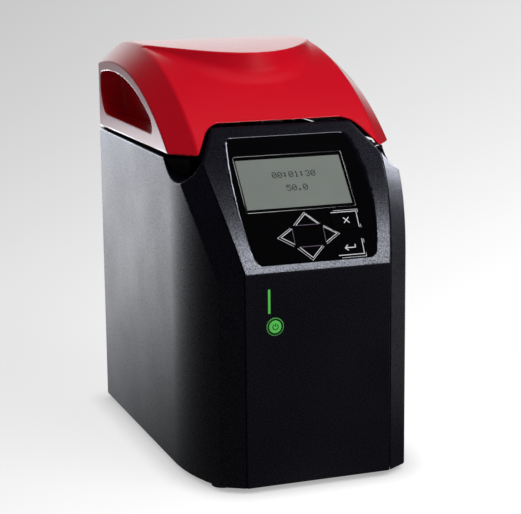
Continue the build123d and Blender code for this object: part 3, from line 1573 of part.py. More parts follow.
with BuildPart() as rear_panel:
    with BuildSketch(rear_view) as plate:
        with Locations((0, rear_window_middle)):
            RectangleRounded(
                2 * (rear_window_half + rear_panel_margin),
                rear_window_top - rear_window_bottom + 2 * rear_panel_margin,
                rear_window_radius,
            )
        with Locations((inlet_x, inlet_z)):
            Rectangle(inlet_width + 2 * parting, inlet_tall + 2 * parting, mode=Mode.SUBTRACT)
        with Locations((fan_x, fan_z)):
            with GridLocations(fan_hole_spacing, fan_hole_spacing, 2, 2):
                Circle(rear_screw_radius + fit_clearance, mode=Mode.SUBTRACT)
        with Locations(*rear_screw_places):
            Circle(rear_screw_radius + fit_clearance, mode=Mode.SUBTRACT)
    extrude(amount=rear_panel_thickness)
    with BuildSketch(rear_view):
        with Locations((fan_x, fan_z)):
            for ring in range(grille_rings, 0, -1):
                Circle(ring * grille_pitch)
                Circle(ring * grille_pitch - grille_slot, mode=Mode.SUBTRACT)
            Rectangle(fan_side, grille_rib, rotation=45, mode=Mode.SUBTRACT)
            Rectangle(fan_side, grille_rib, rotation=-45, mode=Mode.SUBTRACT)
    extrude(amount=rear_panel_thickness, mode=Mode.SUBTRACT)
rear_panel.part.label = "rear_panel"
export_step(rear_panel.part, "parts/rear_panel.step")


def rear_screw(x, z, seat_y):
    """Screw whose head rests on seat_y and whose shank runs forwards."""
    with BuildPart() as screw:
        with BuildSketch(Plane.XZ.offset(-seat_y)):
            with Locations((x, z)):
                Circle(rear_screw_head_radius)
        extrude(amount=-rear_screw_head)
        with BuildSketch(Plane.XZ.offset(-seat_y)):
            with Locations((x, z)):
                Circle(rear_screw_radius)
        extrude(amount=rear_screw_length)
        with BuildSketch(Plane.XZ.offset(-seat_y - rear_screw_head)):
            with Locations((x, z)):
                RegularPolygon(rear_screw_radius, 6)
        extrude(amount=rear_screw_head / 2, mode=Mode.SUBTRACT)
    return screw.part


with BuildPart() as rear_screws:
    for screw_x, screw_z in rear_screw_places:
        add(rear_screw(screw_x, screw_z, rear_y - rear_screw_head - fit_clearance))
    for side in (-1, 1):
        for end in (-1, 1):
            screw_x = fan_x + side * fan_hole_spacing / 2
            screw_z = fan_z + end * fan_hole_spacing / 2
            add(rear_screw(screw_x, screw_z, rear_face))
rear_screws.part.label = "rear_screws"
export_step(rear_screws.part, "parts/rear_screws.step")

inlet_face = rear_face + inlet_flange
inlet_view = Plane.XZ.offset(-inlet_face)
pivot_y = inlet_face - rocker_pivot_depth
rocker_z = inlet_z + rocker_rise
rocker_lean = radians(rocker_tilt)
rocker_view = Plane(
    origin=(inlet_x - rocker_width / 2, pivot_y, rocker_z),
    x_dir=(0, cos(rocker_lean), sin(rocker_lean)),
    z_dir=(1, 0, 0),
)

with BuildPart() as mains_inlet:
    with BuildSketch(inlet_view):
        with Locations((inlet_x, inlet_z)):
            RectangleRounded(inlet_width + 2 * inlet_rim, inlet_tall + 2 * inlet_rim, inlet_rim)
    extrude(amount=inlet_flange)
    with BuildSketch(rear_view):
        with Locations((inlet_x, inlet_z)):
            Rectangle(inlet_width, inlet_tall)
    extrude(amount=inlet_depth)
    with BuildSketch(inlet_view) as socket:
        with Locations((inlet_x, inlet_z - socket_drop)):
            Rectangle(socket_width, socket_tall)
        chamfer(socket.vertices().group_by(Axis.Z)[-1], socket_tall / 4)
    extrude(amount=socket_depth, mode=Mode.SUBTRACT)
    with BuildSketch(inlet_view):
        with Locations((inlet_x, inlet_z)):
            Rectangle(fuse_width, fuse_tall)
    extrude(amount=fuse_depth, mode=Mode.SUBTRACT)
    with BuildSketch(inlet_view):
        with Locations((inlet_x, rocker_z)):
            Rectangle(rocker_width + 2 * key_clearance, rocker_opening)
    extrude(amount=2 * rocker_pivot_depth + inlet_flange, mode=Mode.SUBTRACT)
    with BuildSketch(Plane.YZ.offset(inlet_x - inlet_width / 2)):
        with Locations((pivot_y, rocker_z)):
            Circle(rocker_pin_radius + fit_clearance)
    extrude(amount=inlet_width, mode=Mode.SUBTRACT)
    with BuildSketch(inlet_view.offset(socket_depth)):
        for pin in (-1, 0, 1):
            with Locations((inlet_x + pin * pin_pitch, inlet_z - socket_drop + (1 - abs(pin)) * pin_tall)):
                Rectangle(pin_width, pin_tall)
    extrude(amount=-pin_length)
mains_inlet.part.label = "mains_inlet"
export_step(mains_inlet.part, "parts/mains_inlet.step")

with BuildPart() as fuse_drawer:
    with BuildSketch(inlet_view.offset(-key_clearance)):
        with Locations((inlet_x, inlet_z)):
            Rectangle(fuse_width - 2 * key_clearance, fuse_tall - 2 * key_clearance)
    extrude(amount=fuse_depth)
    with BuildSketch(inlet_view.offset(fuse_depth - key_clearance)):
        with Locations((inlet_x, inlet_z)):
            Rectangle(fuse_width - 4 * wall, fuse_tall - 2 * supply_wall)
    extrude(amount=-fuse_depth + 2 * wall, mode=Mode.SUBTRACT)
    with BuildSketch(inlet_view.offset(-key_clearance)):
        with Locations((inlet_x, inlet_z)):
            Rectangle(fuse_width / 2, fuse_grip)
    extrude(amount=-fuse_grip)
fuse_drawer.part.label = "fuse_drawer"
export_step(fuse_drawer.part, "parts/fuse_drawer.step")

with BuildPart() as mains_rocker:
    with BuildSketch(rocker_view):
        with BuildLine():
            low = rocker_half / 2
            waist = rocker_pivot_depth - 1.0
            proud = waist + rocker_half * sin(radians(rocker_tilt))
            Polyline(
                (-low, -low),
                (low / 2, -rocker_half),
                (proud, -rocker_half),
                (waist, 0),
                (proud, rocker_half),
                (low / 2, rocker_half),
                (-low, low),
                close=True,
            )
        make_face()
    extrude(amount=rocker_width)
    with BuildSketch(Plane.YZ.offset(inlet_x - rocker_width / 2 - rocker_pin_length)):
        with Locations((pivot_y, rocker_z)):
            Circle(rocker_pin_radius)
    extrude(amount=rocker_width + 2 * rocker_pin_length)
mains_rocker.part.label = "mains_rocker"
export_step(mains_rocker.part, "parts/mains_rocker.step")

# ---------------------------------------------------------------- fan
fan_rear = rear_face - rear_panel_thickness
fan_front = fan_rear - fan_thickness
fan_middle = (fan_rear + fan_front) / 2
fan_view = Plane(origin=(fan_x, fan_rear, fan_z), x_dir=(1, 0, 0), z_dir=(0, -1, 0))

with BuildPart() as fan_frame:
    with BuildSketch(fan_view):
        RectangleRounded(fan_side, fan_side, fan_corner)
        Circle(fan_bore_radius, mode=Mode.SUBTRACT)
        with GridLocations(fan_hole_spacing, fan_hole_spacing, 2, 2):
            Circle(rear_screw_radius + fit_clearance, mode=Mode.SUBTRACT)
    extrude(amount=fan_thickness)
    with BuildSketch(fan_view.offset(fan_thickness)):
        Circle(fan_hub_radius)
        Rectangle(2 * fan_bore_radius + fan_strut, fan_strut, rotation=30)
        Rectangle(2 * fan_bore_radius + fan_strut, fan_strut, rotation=-30)
        Rectangle(fan_strut, 2 * fan_bore_radius + fan_strut)
        Circle(fan_shaft_radius + fit_clearance, mode=Mode.SUBTRACT)
    extrude(amount=-fan_strut)
fan_frame.part.label = "fan_frame"
export_step(fan_frame.part, "parts/fan_frame.step")


def fan_blade(turn):
    """Slanted flat blade that runs out from the hub in one direction."""
    radial = Vector(cos(radians(turn)), 0, sin(radians(turn)))
    root = Vector(fan_x, fan_middle, fan_z) + radial * (fan_hub_radius - fan_blade_thickness)
    with BuildPart() as blade:
        with BuildSketch(Plane(origin=root, x_dir=(0, 1, 0), z_dir=radial)):
            Rectangle(fan_blade_length, fan_blade_thickness, rotation=fan_blade_pitch)
        extrude(amount=fan_tip_radius - fan_hub_radius + fan_blade_thickness)
    return blade.part


with BuildPart() as fan_rotor:
    with BuildSketch(fan_view.offset((fan_thickness - fan_hub_length) / 2)):
        Circle(fan_hub_radius)
    extrude(amount=fan_hub_length - fan_strut)
    for blade in range(fan_blades):
        add(fan_blade(90 + blade * 360 / fan_blades))
    with BuildSketch(fan_view.offset(fan_thickness - fan_strut)):
        Circle(fan_shaft_radius)
    extrude(amount=fan_strut, both=True)
fan_rotor.part.label = "fan_rotor"
export_step(fan_rotor.part, "parts/fan_rotor.step")
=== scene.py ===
"""Looks of the analytical lab mill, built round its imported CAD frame.

The file is laid out as an add-on: sizes and colours are property groups, each piece or group of
like pieces has its own operator, and main() calls them in order. Lengths are in metres, in the
frame of the CAD: X across the front, +Y to the rear, +Z up, the feet on Z = 0.
"""
from functools import partial, reduce

import bpy
import numpy as np
from mathutils import Matrix, Vector


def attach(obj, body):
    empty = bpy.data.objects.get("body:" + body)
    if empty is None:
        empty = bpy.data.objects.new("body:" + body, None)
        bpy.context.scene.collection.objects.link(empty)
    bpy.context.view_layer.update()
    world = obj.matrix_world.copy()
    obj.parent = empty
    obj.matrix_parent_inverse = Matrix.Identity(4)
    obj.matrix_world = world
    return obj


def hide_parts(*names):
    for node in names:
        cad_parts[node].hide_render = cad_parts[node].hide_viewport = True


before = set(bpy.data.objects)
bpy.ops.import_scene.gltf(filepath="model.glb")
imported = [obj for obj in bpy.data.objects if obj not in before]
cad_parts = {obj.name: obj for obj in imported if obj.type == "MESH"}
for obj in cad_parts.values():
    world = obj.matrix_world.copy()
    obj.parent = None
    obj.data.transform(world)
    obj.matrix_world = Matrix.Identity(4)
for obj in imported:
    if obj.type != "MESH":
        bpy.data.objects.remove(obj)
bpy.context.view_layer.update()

bl_info = {
    "name": "Analytical lab mill",
    "version": (1, 0, 0),
    "blender": (4, 5, 0),
    "location": "3D View > Sidebar > Mill",
    "description": "Builds the visible pieces, materials and stage of a bench mill",
    "category": "Object",
}

MM = 0.001
BUTTON_X, BUTTON_Z = -40.7 * MM, 147.4 * MM  # axis of the power button
WINDOW_Z, WINDOW_HALF = 132.0 * MM, 105.0 * MM  # middle of the rear window, and half its height
FASCIA_ARC = 70.0 * MM  # middle of the fascia, along the console's arc from the lip


# ---------------------------------------------------------------- sizes and colours
def length(name, default, description):
    return bpy.props.FloatProperty(
        name=name, default=default, description=description, unit="LENGTH"
    )


def colour(name, default, description):
    return bpy.props.FloatVectorProperty(
        name=name, default=default, description=description, subtype="COLOR", min=0.0, max=1.0
    )


class MillSizes(bpy.types.PropertyGroup):
    """Lengths that the visible surfaces are computed from."""

    half_width: length("Half width", 0.105, "Middle plane to the side of body and lid")
    front: length("Front", -0.1685, "Y of the flat front")
    rear: length("Rear", 0.1685, "Y of the rear face")
    bottom: length("Bottom", 0.005, "Z of the body's lower edge")
    rim: length("Rim", 0.282, "Z of the body's upper rim")
    wall: length("Wall", 0.003, "Skin of body and lid")
    panel_wall: length("Panel wall", 0.0045, "Skin of the front panel")
    parting: length("Parting", 0.00025, "Gap beside the front panel")

    side_arc: length("Side arc", 0.174, "Radius along which the sides draw in towards the front")
    side_arc_end: length("Side arc end", 0.090, "Depth where that arc becomes the straight side")
    facet_depth: length("Facet depth", 0.0121, "Depth where the slanted facet meets the side arc")
    rear_corner: length("Rear corner", 0.010, "Radius of the upright rear corners")
    shoulder: length("Shoulder", 0.0845, "Half width of the crown between the flanks")
    shoulder_arc: length("Shoulder arc", 0.180, "Radius along which the shoulders draw in")
    shoulder_arc_end: length("Shoulder arc end", 0.078, "Depth where the shoulder arc ends")

    crown: length("Crown", 0.2967, "Radius of the arc shared by console and lid")
    crown_y: length("Crown Y", 0.103, "Y of that arc's cross axis")
    crown_z: length("Crown Z", 0.0745, "Z of that arc's cross axis")
    facet_crown: length("Facet crown", 0.2827, "Radius of the facet's edge beside the console")
    flank_crown: length("Flank crown", 0.2780, "Radius of the flank's outer edge along the lid")

    tongue_top: length("Tongue top", 0.308, "Z of the console's top")
    tongue_depth: length("Tongue depth", 0.097, "Depth of the block behind the console's top")
    deck_bottom: length("Deck bottom", 0.271, "Z of the underside of the top deck")

    scoop: length("Scoop", 0.024, "Radius of the finger scoops")
    scoop_x: length("Scoop X", 0.104, "X where the scoop's axis meets the corner")
    scoop_y: length("Scoop Y", -0.0945, "Y where the scoop's axis meets the corner")
    scoop_z: length("Scoop Z", 0.289, "Z where the scoop's axis meets the corner")
    scoop_reach: length("Scoop reach", 0.022, "Length of the scoop inwards from the corner")

    lid_rear: length("Lid rear", 0.1665, "Y of the lid's rear face")
    lid_low_front: length("Lid low front", 0.2875, "Z of the lid's lower edge at the front")
    lid_low_rear: length("Lid low rear", 0.2850, "Z of the lid's lower edge at the rear")
    lid_rear_round: length("Lid rear round", 0.028, "Radius from the lid's top to its rear face")
    notch_half: length("Notch half", 0.067, "Half width of the notch over the console, at its top")
    notch_foot: length("Notch foot", 0.0845, "Half width of that notch at the lid's lower edge")
    notch_top: length("Notch top", 0.311, "Z of the notch's upper edge")
    notch_foot_z: length("Notch foot Z", 0.288, "Z where the notch is widest")
    notch_depth: length("Notch depth", 0.106, "Depth of the notch from the front")
    notch_corner: length("Notch corner", 0.008, "Radius of the notch's upper corners")
    grip_roof: length("Grip roof", 0.2685, "Radius of the pocket's roof about the crown's axis")
    grip_front: length("Grip front", -0.0272, "Y of the grip pocket's front end")
    grip_rear: length("Grip rear", 0.1510, "Y of the grip pocket's rear end")
    grip_low: length("Grip low", 0.2975, "Z of the grip pocket's lower edge")
    grip_inset: length("Grip inset", 0.0245, "Depth of the grip pocket from the side")
    brow_top: length("Brow top", 0.3712, "Z of the raised brow's highest line")
    brow_bend: length("Brow bend", 1.730, "Radius of the brow's nearly flat top")


class MillColours(bpy.types.PropertyGroup):
    """Base colours of the finishes."""

    lid: colour("Lid", (0.72, 0.002, 0.016), "Glossy lid lacquer")
    body: colour("Body", (0.0030, 0.0026, 0.0066), "Fine-textured body paint")
    panel: colour("Panel", (0.0026, 0.0023, 0.0060), "Front panel and console bezel")
    glass: colour("Glass", (0.0015, 0.0015, 0.002), "Fascia glass")
    display: colour("Display", (0.212, 0.234, 0.212), "Display background")
    ink: colour("Ink", (0.02, 0.025, 0.022), "Display digits")
    # This colour prints the keys' symbols, and also paints the highlights along the keys' bevelled
    # edges.
    mark: colour("Mark", (0.80, 0.80, 0.84), "Printed lines")
    # This colour paints a faint reflection along the base of each arrow key.
    dim_mark: colour("Dim painted reflection", (0.16, 0.12, 0.18), "Faint printed lines")
    green: colour("Green", (0.10, 0.55, 0.09), "Power button and light bar")
    steel: colour("Steel", (0.55, 0.55, 0.56), "Brushed steel")
    aluminium: colour("Aluminium", (0.62, 0.62, 0.64), "Machined aluminium")
    rubber: colour("Rubber", (0.02, 0.02, 0.02), "Feet and seals")
    plastic: colour("Plastic", (0.025, 0.025, 0.028), "Black moulded plastic")
    liner: colour("Liner", (0.12, 0.12, 0.13), "Inner skin of the lid")
    holder: colour("Holder", (0.62, 0.62, 0.60), "Sample holder")
    board: colour("Board", (0.015, 0.12, 0.045), "Circuit boards")
    copper: colour("Copper", (0.60, 0.28, 0.12), "Motor windings")
    red: colour("Red", (0.45, 0.015, 0.015), "Mains rocker")


# ---------------------------------------------------------------- fields
# A field is negative inside a form and positive outside, and grows about as fast as the distance.
def both(a, b, r, lean=0.0):
    """Where both forms are, with the edge between them rounded to radius r.

    lean is the cosine of the angle between the outward normals of the two faces. With u = a + r and
    v = b + r, the arc's field is sqrt((u^2 + v^2 - 2 lean u v) / (1 - lean^2)) - r."""
    u, v = a + r, b + r
    arc = np.sqrt(np.maximum(u * u + v * v - 2 * lean * u * v, 0.0) / (1 - lean * lean)) - r
    return np.where((u > lean * v) & (v > lean * u) & (u + v > 0), arc, np.maximum(a, b))


def every(*forms):
    """Where all of the forms are, with sharp edges."""
    return reduce(np.maximum, forms)


def either(a, b, r):
    """Where either form is, with a hollow fillet of radius r between them."""
    r = np.maximum(r, 1e-9)
    return np.maximum(np.minimum(a, b), r) - np.hypot(np.maximum(r - a, 0), np.maximum(r - b, 0))


def graded(*spans):
    """Grid lines along one axis: each span is start, end and largest step, in millimetres."""
    lines = []
    for start, end, step in spans:
        count = max(int(np.ceil((end - start) / step)), 1)
        lines.append(np.linspace(start, end, count, endpoint=False))
    lines.append(np.array([spans[-1][1]]))
    return np.concatenate(lines) * MM


def slope(field, points, step=2e-5):
    """Gradient of the field at the points, by central differences."""
    columns = []
    for axis in range(3):
        shift = np.zeros(3)
        shift[axis] = step
        ahead = field(*(points + shift).T)
        behind = field(*(points - shift).T)
        columns.append((ahead - behind) / (2 * step))
    return np.stack(columns, axis=1)


def part_of(*parts):
    """Index of an array with three axes that keeps these parts, each given as axis and slice."""
    index = [slice(None)] * 3
    for axis, part in parts:
        index[axis] = part
    return tuple(index)


def surface_net(field, grid):
    """Points and quads on the field's zero surface, from its values on a grid.

    Each cell of the grid that the surface crosses gets one point, at the mean of the crossings on
    its edges. Each grid edge that is crossed gets one quad through the four cells round it."""
    value = field(*grid)
    inside = value < 0
    cells = np.array(value.shape) - 1
    total = np.zeros((3,) + tuple(cells))
    hits = np.zeros(tuple(cells))
    crossed = []
    for axis in range(3):
        near, far = part_of((axis, slice(None, -1))), part_of((axis, slice(1, None)))
        cross = inside[near] != inside[far]
        part = np.where(cross, value[near] / np.where(cross, value[near] - value[far], 1.0), 0.0)
        place = [g[near] + part * (g[far] - g[near]) for g in grid]
        crossed.append((cross, inside[near]))
        u, v = (axis + 1) % 3, (axis + 2) % 3
        for du in (0, 1):
            for dv in (0, 1):
                spans = (slice(1 - d, cells[k] + 1 - d) for k, d in ((u, du), (v, dv)))
                pick = part_of(*zip((u, v), spans))
                hits += cross[pick]
                for k in range(3):
                    total[k] += np.where(cross[pick], place[k][pick], 0.0)
    used = hits > 0
    number = np.full(tuple(cells), -1, dtype=np.int64)
    number[used] = np.arange(int(used.sum()))
    points = np.stack([total[k][used] / hits[used] for k in range(3)], axis=1)
    quads = []
    for axis, (cross, low_inside) in enumerate(crossed):
        u, v = (axis + 1) % 3, (axis + 2) % 3
        where = np.argwhere(cross[part_of((u, slice(1, -1)), (v, slice(1, -1)))])
        if len(where) == 0:
            continue
        where[:, u] += 1
        where[:, v] += 1
        corners = []
        for du, dv in ((1, 1), (0, 1), (0, 0), (1, 0)):
            cell = where.copy()
            cell[:, u] -= du
            cell[:, v] -= dv
            corners.append(number[tuple(cell.T)])
        quad = np.stack(corners, axis=1)
        back = ~low_inside[tuple(where.T)]
        quad[back] = quad[back][:, ::-1]
        quads.append(quad)
    return points, np.concatenate(quads)


def skin(name, field, xs, ys, zs, drop=None, warp=None):
    """Mesh object on the field's zero surface. A warp moves the grid's points before they are used.

    The points of the surface net step along the field's gradient onto the surface, each by less
    than a cell, and take the gradient as their normal. Quads whose corners are all in drop go."""
    grid = np.meshgrid(xs, ys, zs, indexing="ij")
    if warp is not None:
        grid = warp(*grid)
    points, quads = surface_net(field, grid)
    reach = 0.7 * np.array([np.diff(a).max() for a in (xs, ys, zs)])
    home = points.copy()
    for _ in range(4):
        gradient = slope(field, points)
        size = np.maximum((gradient**2).sum(axis=1), 0.05)
        points = points - gradient * (field(*points.T) / size)[:, None]
        points = np.clip(points, home - reach, home + reach)
    if drop is not None:
        gone = drop(*points.T)
        quads = quads[~gone[quads].all(axis=1)]
    normal = slope(field, points)
    normal /= np.maximum(np.linalg.norm(normal, axis=1, keepdims=True), 1e-9)
    return mesh_object(name, points, quads, normal)


def ring_quads(index):
    """Quads between neighbouring rings, each a row of point numbers."""
    ahead = np.roll(index, -1, axis=1)
    return np.stack([index[:-1], ahead[:-1], ahead[1:], index[1:]], axis=2).reshape(-1, 4)


def grid_quads(index):
    """Quads between neighbouring lines of a grid of point numbers."""
    corners = [index[:-1, :-1], index[1:, :-1], index[1:, 1:], index[:-1, 1:]]
    return np.stack(corners, axis=2).reshape(-1, 4)


def mesh_object(name, points, faces, normal=None):
    """Object of this name from points and faces of equal length; given normals shade it."""
    faces = np.asarray(faces)
    kept, renumbered = np.unique(faces, return_inverse=True)
    points = np.asarray(points, dtype=float)[kept]
    faces = renumbered.reshape(faces.shape)
    sides = faces.shape[1]
    mesh = bpy.data.meshes.new(name)
    mesh.vertices.add(len(points))
    mesh.vertices.foreach_set("co", points.astype(np.float32).ravel())
    mesh.loops.add(faces.size)
    mesh.loops.foreach_set("vertex_index", faces.astype(np.int32).ravel())
    mesh.polygons.add(len(faces))
    mesh.polygons.foreach_set("loop_start", np.arange(0, faces.size, sides, dtype=np.int32))
    mesh.update(calc_edges=True)
    mesh.validate()
    mesh.shade_smooth()
    if normal is not None and len(mesh.polygons) == len(faces):
        mesh.normals_split_custom_set_from_vertices(normal[kept].astype(np.float32))
    piece = bpy.data.objects.new(name, mesh)
    bpy.context.scene.collection.objects.link(piece)
    return piece


def side_half(s, y):
    """Half width of the body at y: straight behind, drawn in along an arc towards the front."""
    ahead = np.clip(s.front + s.side_arc_end - y, 0.0, s.side_arc)
    return s.half_width - s.side_arc + np.sqrt(s.side_arc**2 - ahead**2)


def side_field(s, a, y):
    """Between the sides. The factor makes up for how fast the side arc draws in."""
    return 0.95 * (a - side_half(s, y))


def shoulder_half(s, y):
    """Half width of the crown at y, drawn in along its own arc."""
    ahead = np.clip(s.front + s.shoulder_arc_end - y, 0.0, s.shoulder_arc)
    return s.shoulder - s.shoulder_arc + np.sqrt(s.shoulder_arc**2 - ahead**2)


def crown_field(s, y, z, radius):
    """Inside a circle of this radius about the crown's axis."""
    return np.hypot(y - s.crown_y, z - s.crown_z) - radius


def crown_front(s, z, radius):
    """Y of the front of that circle at this height."""
    return s.crown_y - np.sqrt(np.maximum(radius**2 - (z - s.crown_z) ** 2, 0.0))


def front_field(s, y, z):
    """Behind the flat front and under the crown, with the lip between them rounded."""
    return both(s.front - y, crown_field(s, y, z, s.crown), 3.0 * MM, 0.915)


def facet_field(s, a, y, z):
    """Behind the slanted facet.

    At each height the facet is the line from the shoulder, on the crown or the flat front, to the
    side arc, on a smaller circle or the facet's own depth."""
    near_y = np.maximum(s.front, crown_front(s, z, s.crown))
    near_x = shoulder_half(s, near_y)
    far_y = np.maximum(s.front + s.facet_depth, crown_front(s, z, s.facet_crown))
    far_x = side_half(s, far_y)
    run_x, run_y = far_x - near_x, far_y - near_y
    return ((a - near_x) * run_y - (y - near_y) * run_x) / np.hypot(run_x, run_y)


def body_field(s, a, y, z):
    """Outside of the body, without its top and bottom."""
    form = both(side_field(s, a, y), y - s.rear, s.rear_corner)
    form = both(form, facet_field(s, a, y, z), 6.0 * MM, 0.85)
    return every(form, front_field(s, y, z))


def scoop_field(s, a, y, z, grow):
    """Finger scoop: a leaning cylinder that runs diagonally in from the front corner."""
    lean = np.radians(8.0)
    way = np.array([-np.cos(lean) / np.sqrt(2), np.cos(lean) / np.sqrt(2), np.sin(lean)])
    dx, dy, dz = a - s.scoop_x, y - s.scoop_y, z - s.scoop_z
    along = dx * way[0] + dy * way[1] + dz * way[2]
    across = np.sqrt(np.maximum(dx**2 + dy**2 + dz**2 - along**2, 0.0))
    return both(across - s.scoop - grow, along - s.scoop_reach - grow, 3.0 * MM)


def strip_field(s, a, y):
    """Room of the front panel between the shoulders."""
    return both(a - shoulder_half(s, y) - s.parting, y - s.front - s.tongue_depth, 0.5 * MM)


def hinge_notch(a, y, start):
    """Room for a hinge from start rearwards; it is cut where a wall passes a hinge."""
    return every(np.abs(a - 60.0 * MM) - 8.8 * MM, start - y)


def housing_field(s, x, y, z):
    """Body shell: a skin inside the outline and round the scoops, less the panel's strip, the
    scoops, the rear window, the seats of its screws and the hinges."""
    a = np.abs(x)
    outer = body_field(s, a, y, z)
    capped = both(both(outer, z - s.rim, 1.2 * MM), s.bottom - z, 1.0 * MM)
    form = both(capped, -(outer + s.wall), 0.8 * MM)
    form = np.minimum(form, every(outer, z - s.rim, scoop_field(s, a, y, z, s.wall)))
    strip = strip_field(s, a, y)
    form = both(form, -strip, 0.6 * MM)
    form = both(form, -every(scoop_field(s, a, y, z, 0.0), -strip), 0.9 * MM)
    level = np.abs(z - WINDOW_Z)
    window = both(a - 84.0 * MM, level - WINDOW_HALF, 8.0 * MM)
    form = both(form, -every(window, s.rear - 5.0 * MM - y), 0.7 * MM)
    screw_z = np.minimum(level, np.abs(level - WINDOW_HALF))
    seat_radius, seat_depth = 2.95 * MM, 1.6 * MM
    seat = np.hypot(a - 87.5 * MM, screw_z) - seat_radius
    form = every(form, -every(seat, s.rear - seat_depth - y))
    return both(form, -every(hinge_notch(a, y, 160.9 * MM), 278.4 * MM - z), 0.5 * MM)


def glass_field(x, v):
    """Fascia outline seen along its middle's normal: widest at its waist, corners rounded."""
    foot, waist, top = -61.6 * MM, -4.0 * MM, 61.1 * MM
    waist_half, foot_loss, top_loss = 61.2 * MM, 7.2 * MM, 6.7 * MM
    half = waist_half - np.where(
        v < waist,
        foot_loss * ((waist - v) / (waist - foot)) ** 2,
        top_loss * ((v - waist) / (top - waist)) ** 2,
    )
    middle, reach = (foot + top) / 2, (top - foot) / 2
    return both(np.abs(x) - half, np.abs(v - middle) - reach, 5.0 * MM)


def bevel_spread(a, v):
    """Width of the fascia's bevel over its depth: widest beside its upper half."""
    beside = np.clip((a - 50.0 * MM) / (5.0 * MM), 0.0, 1.0)
    return 0.8 + 1.9 * beside * np.clip((v + 30.0 * MM) / (60.0 * MM), 0.0, 1.0)


def fascia_height(s, y, z):
    """Distance up the console from the fascia's middle, along the crown's tangent there."""
    turn = np.arccos((s.crown_y - s.front) / s.crown) + FASCIA_ARC / s.crown
    middle_y, middle_z = s.crown_y - np.cos(turn) * s.crown, s.crown_z + np.sin(turn) * s.crown
    return (y - middle_y) * np.sin(turn) + (z - middle_z) * np.cos(turn)


def panel_field(s, x, y, z):
    """Front panel: a sheet behind the front, with the block of the console's top, the fascia's
    seat and openings, and the bores for the power button and the light bar."""
    a = np.abs(x)
    front = front_field(s, y, z)
    slant_foot = 84.25 * MM
    slant = (a - slant_foot) * 0.818 + (z - s.rim) * 0.574  # leans in by 35 degrees
    above, behind = z - s.tongue_top, y - s.front - s.tongue_depth
    form = both(front, 0.95 * (a - shoulder_half(s, y)), 0.8 * MM, 0.4)
    form = both(form, slant, 2.0 * MM)
    form = both(form, above, 1.5 * MM)
    form = both(form, s.bottom - z, 1.0 * MM)
    form = both(form, behind, 1.0 * MM)
    sheet = every(form, -(front + s.panel_wall))
    room = every(a - slant_foot, slant, above, behind) + s.wall
    room = every(front + s.panel_wall, room)
    form = np.minimum(sheet, every(form, s.deck_bottom - z, -room))
    v = fascia_height(s, y, z)
    radius = np.hypot(y - s.crown_y, z - s.crown_z)
    glass = glass_field(x, v)
    spread = bevel_spread(a, v)
    bevel = np.clip(radius - (s.crown - 1.1 * MM), 0.0, 3.0 * MM)
    beside = (glass - 0.1 * MM - spread * bevel) / np.hypot(1.0, spread)
    form = both(form, -every(beside, s.crown - 2.6 * MM - radius), 0.4 * MM)
    opening = every(glass + 3.0 * MM, 100.0 * MM - z)
    keypad = every(np.abs(x - 15.0 * MM) - 31.0 * MM, np.abs(v + 58.0 * MM) - 4.0 * MM)
    opening = np.minimum(opening, every(keypad, s.crown - 12.0 * MM - radius))
    button = np.hypot(x - BUTTON_X, z - BUTTON_Z) - 7.1 * MM
    bar = every(np.abs(x + 45.6 * MM) - 1.1 * MM, np.abs(z - 169.65 * MM) - 10.55 * MM)
    bores = every(np.minimum(button, bar), y - s.front - 10.0 * MM)
    return every(form, -opening, -bores)


def lid_outer_field(s, a, y, z):
    """Outside of the lid without its lower edge: crown, flanks, sides, rear and raised brow."""
    crown = crown_field(s, y, z, s.crown)
    run, drop = s.half_width - s.shoulder, s.crown - s.flank_crown
    flank = ((a - s.shoulder) * drop + crown * run) / np.hypot(run, drop)
    form = both(crown, y - s.lid_rear, s.lid_rear_round)
    form = both(form, flank, 6.0 * MM, 0.739)
    side = side_field(s, a, y)
    form = both(form, both(side, y - s.lid_rear, s.rear_corner), 1.6 * MM, 0.6)
    top = np.hypot(y - s.crown_y, z - s.brow_top + s.brow_bend) - s.brow_bend
    # The brow's front wall leans back from its foot to its edge, and both bow back with a.
    foot_z, wall_height = 337.0 * MM, 34.2 * MM
    foot_y = s.front + 144.0 * MM + 5.6 * a**2
    edge_y = s.front + 151.0 * MM + 12.2 * a**2
    wall_y = foot_y + (edge_y - foot_y) * (z - foot_z) / wall_height
    wall = (wall_y - y) / np.sqrt(1.05 + (24.4 * a) ** 2)
    brow = both(top, wall, 1.3 * MM)
    brow = both(brow, both(flank, side, 1.6 * MM, 0.6), 3.0 * MM, 0.6)
    brow = every(brow, y - s.crown_y + 3.5 * MM, 310.0 * MM - z)
    crown_top = s.crown_z + np.sqrt(np.maximum(s.crown**2 - (y - s.crown_y) ** 2, 0.0))
    flat_top = s.brow_top - (y - s.crown_y) ** 2 / (2 * s.brow_bend)
    fillet = np.clip(0.42 * (flat_top - crown_top), 0.0, 9.0 * MM)
    fillet = np.where(y < s.crown_y, fillet, 0.0) * np.clip((s.shoulder - a) / (8.0 * MM), 0.0, 1.0)
    return either(form, brow, fillet)


def grip_field(s, a, y, z, grow):
    """Grip pocket: its mouth's outline seen from the side, run in from the lid's side."""
    roof = crown_field(s, y, z, s.grip_roof)
    rear_low = both(y - s.grip_rear, s.grip_low - z, 30.0 * MM)
    mouth = both(rear_low, s.grip_front - y, 4.5 * MM)
    mouth = both(mouth, roof, 4.5 * MM)
    mouth = both(mouth, -z + s.grip_low, 4.5 * MM)
    return both(mouth - grow, s.half_width - s.grip_inset - a - grow, 5.0 * MM)


def notch_field(s, a, y, z):
    """Room over the console, cut through the lid's front."""
    rise = s.notch_top - s.notch_foot_z
    run = s.notch_foot - s.notch_half
    slant = ((a - s.notch_foot) * rise + (z - s.notch_foot_z) * run) / np.hypot(rise, run)
    return every(both(slant, z - s.notch_top, s.notch_corner), y - s.front - s.notch_depth)


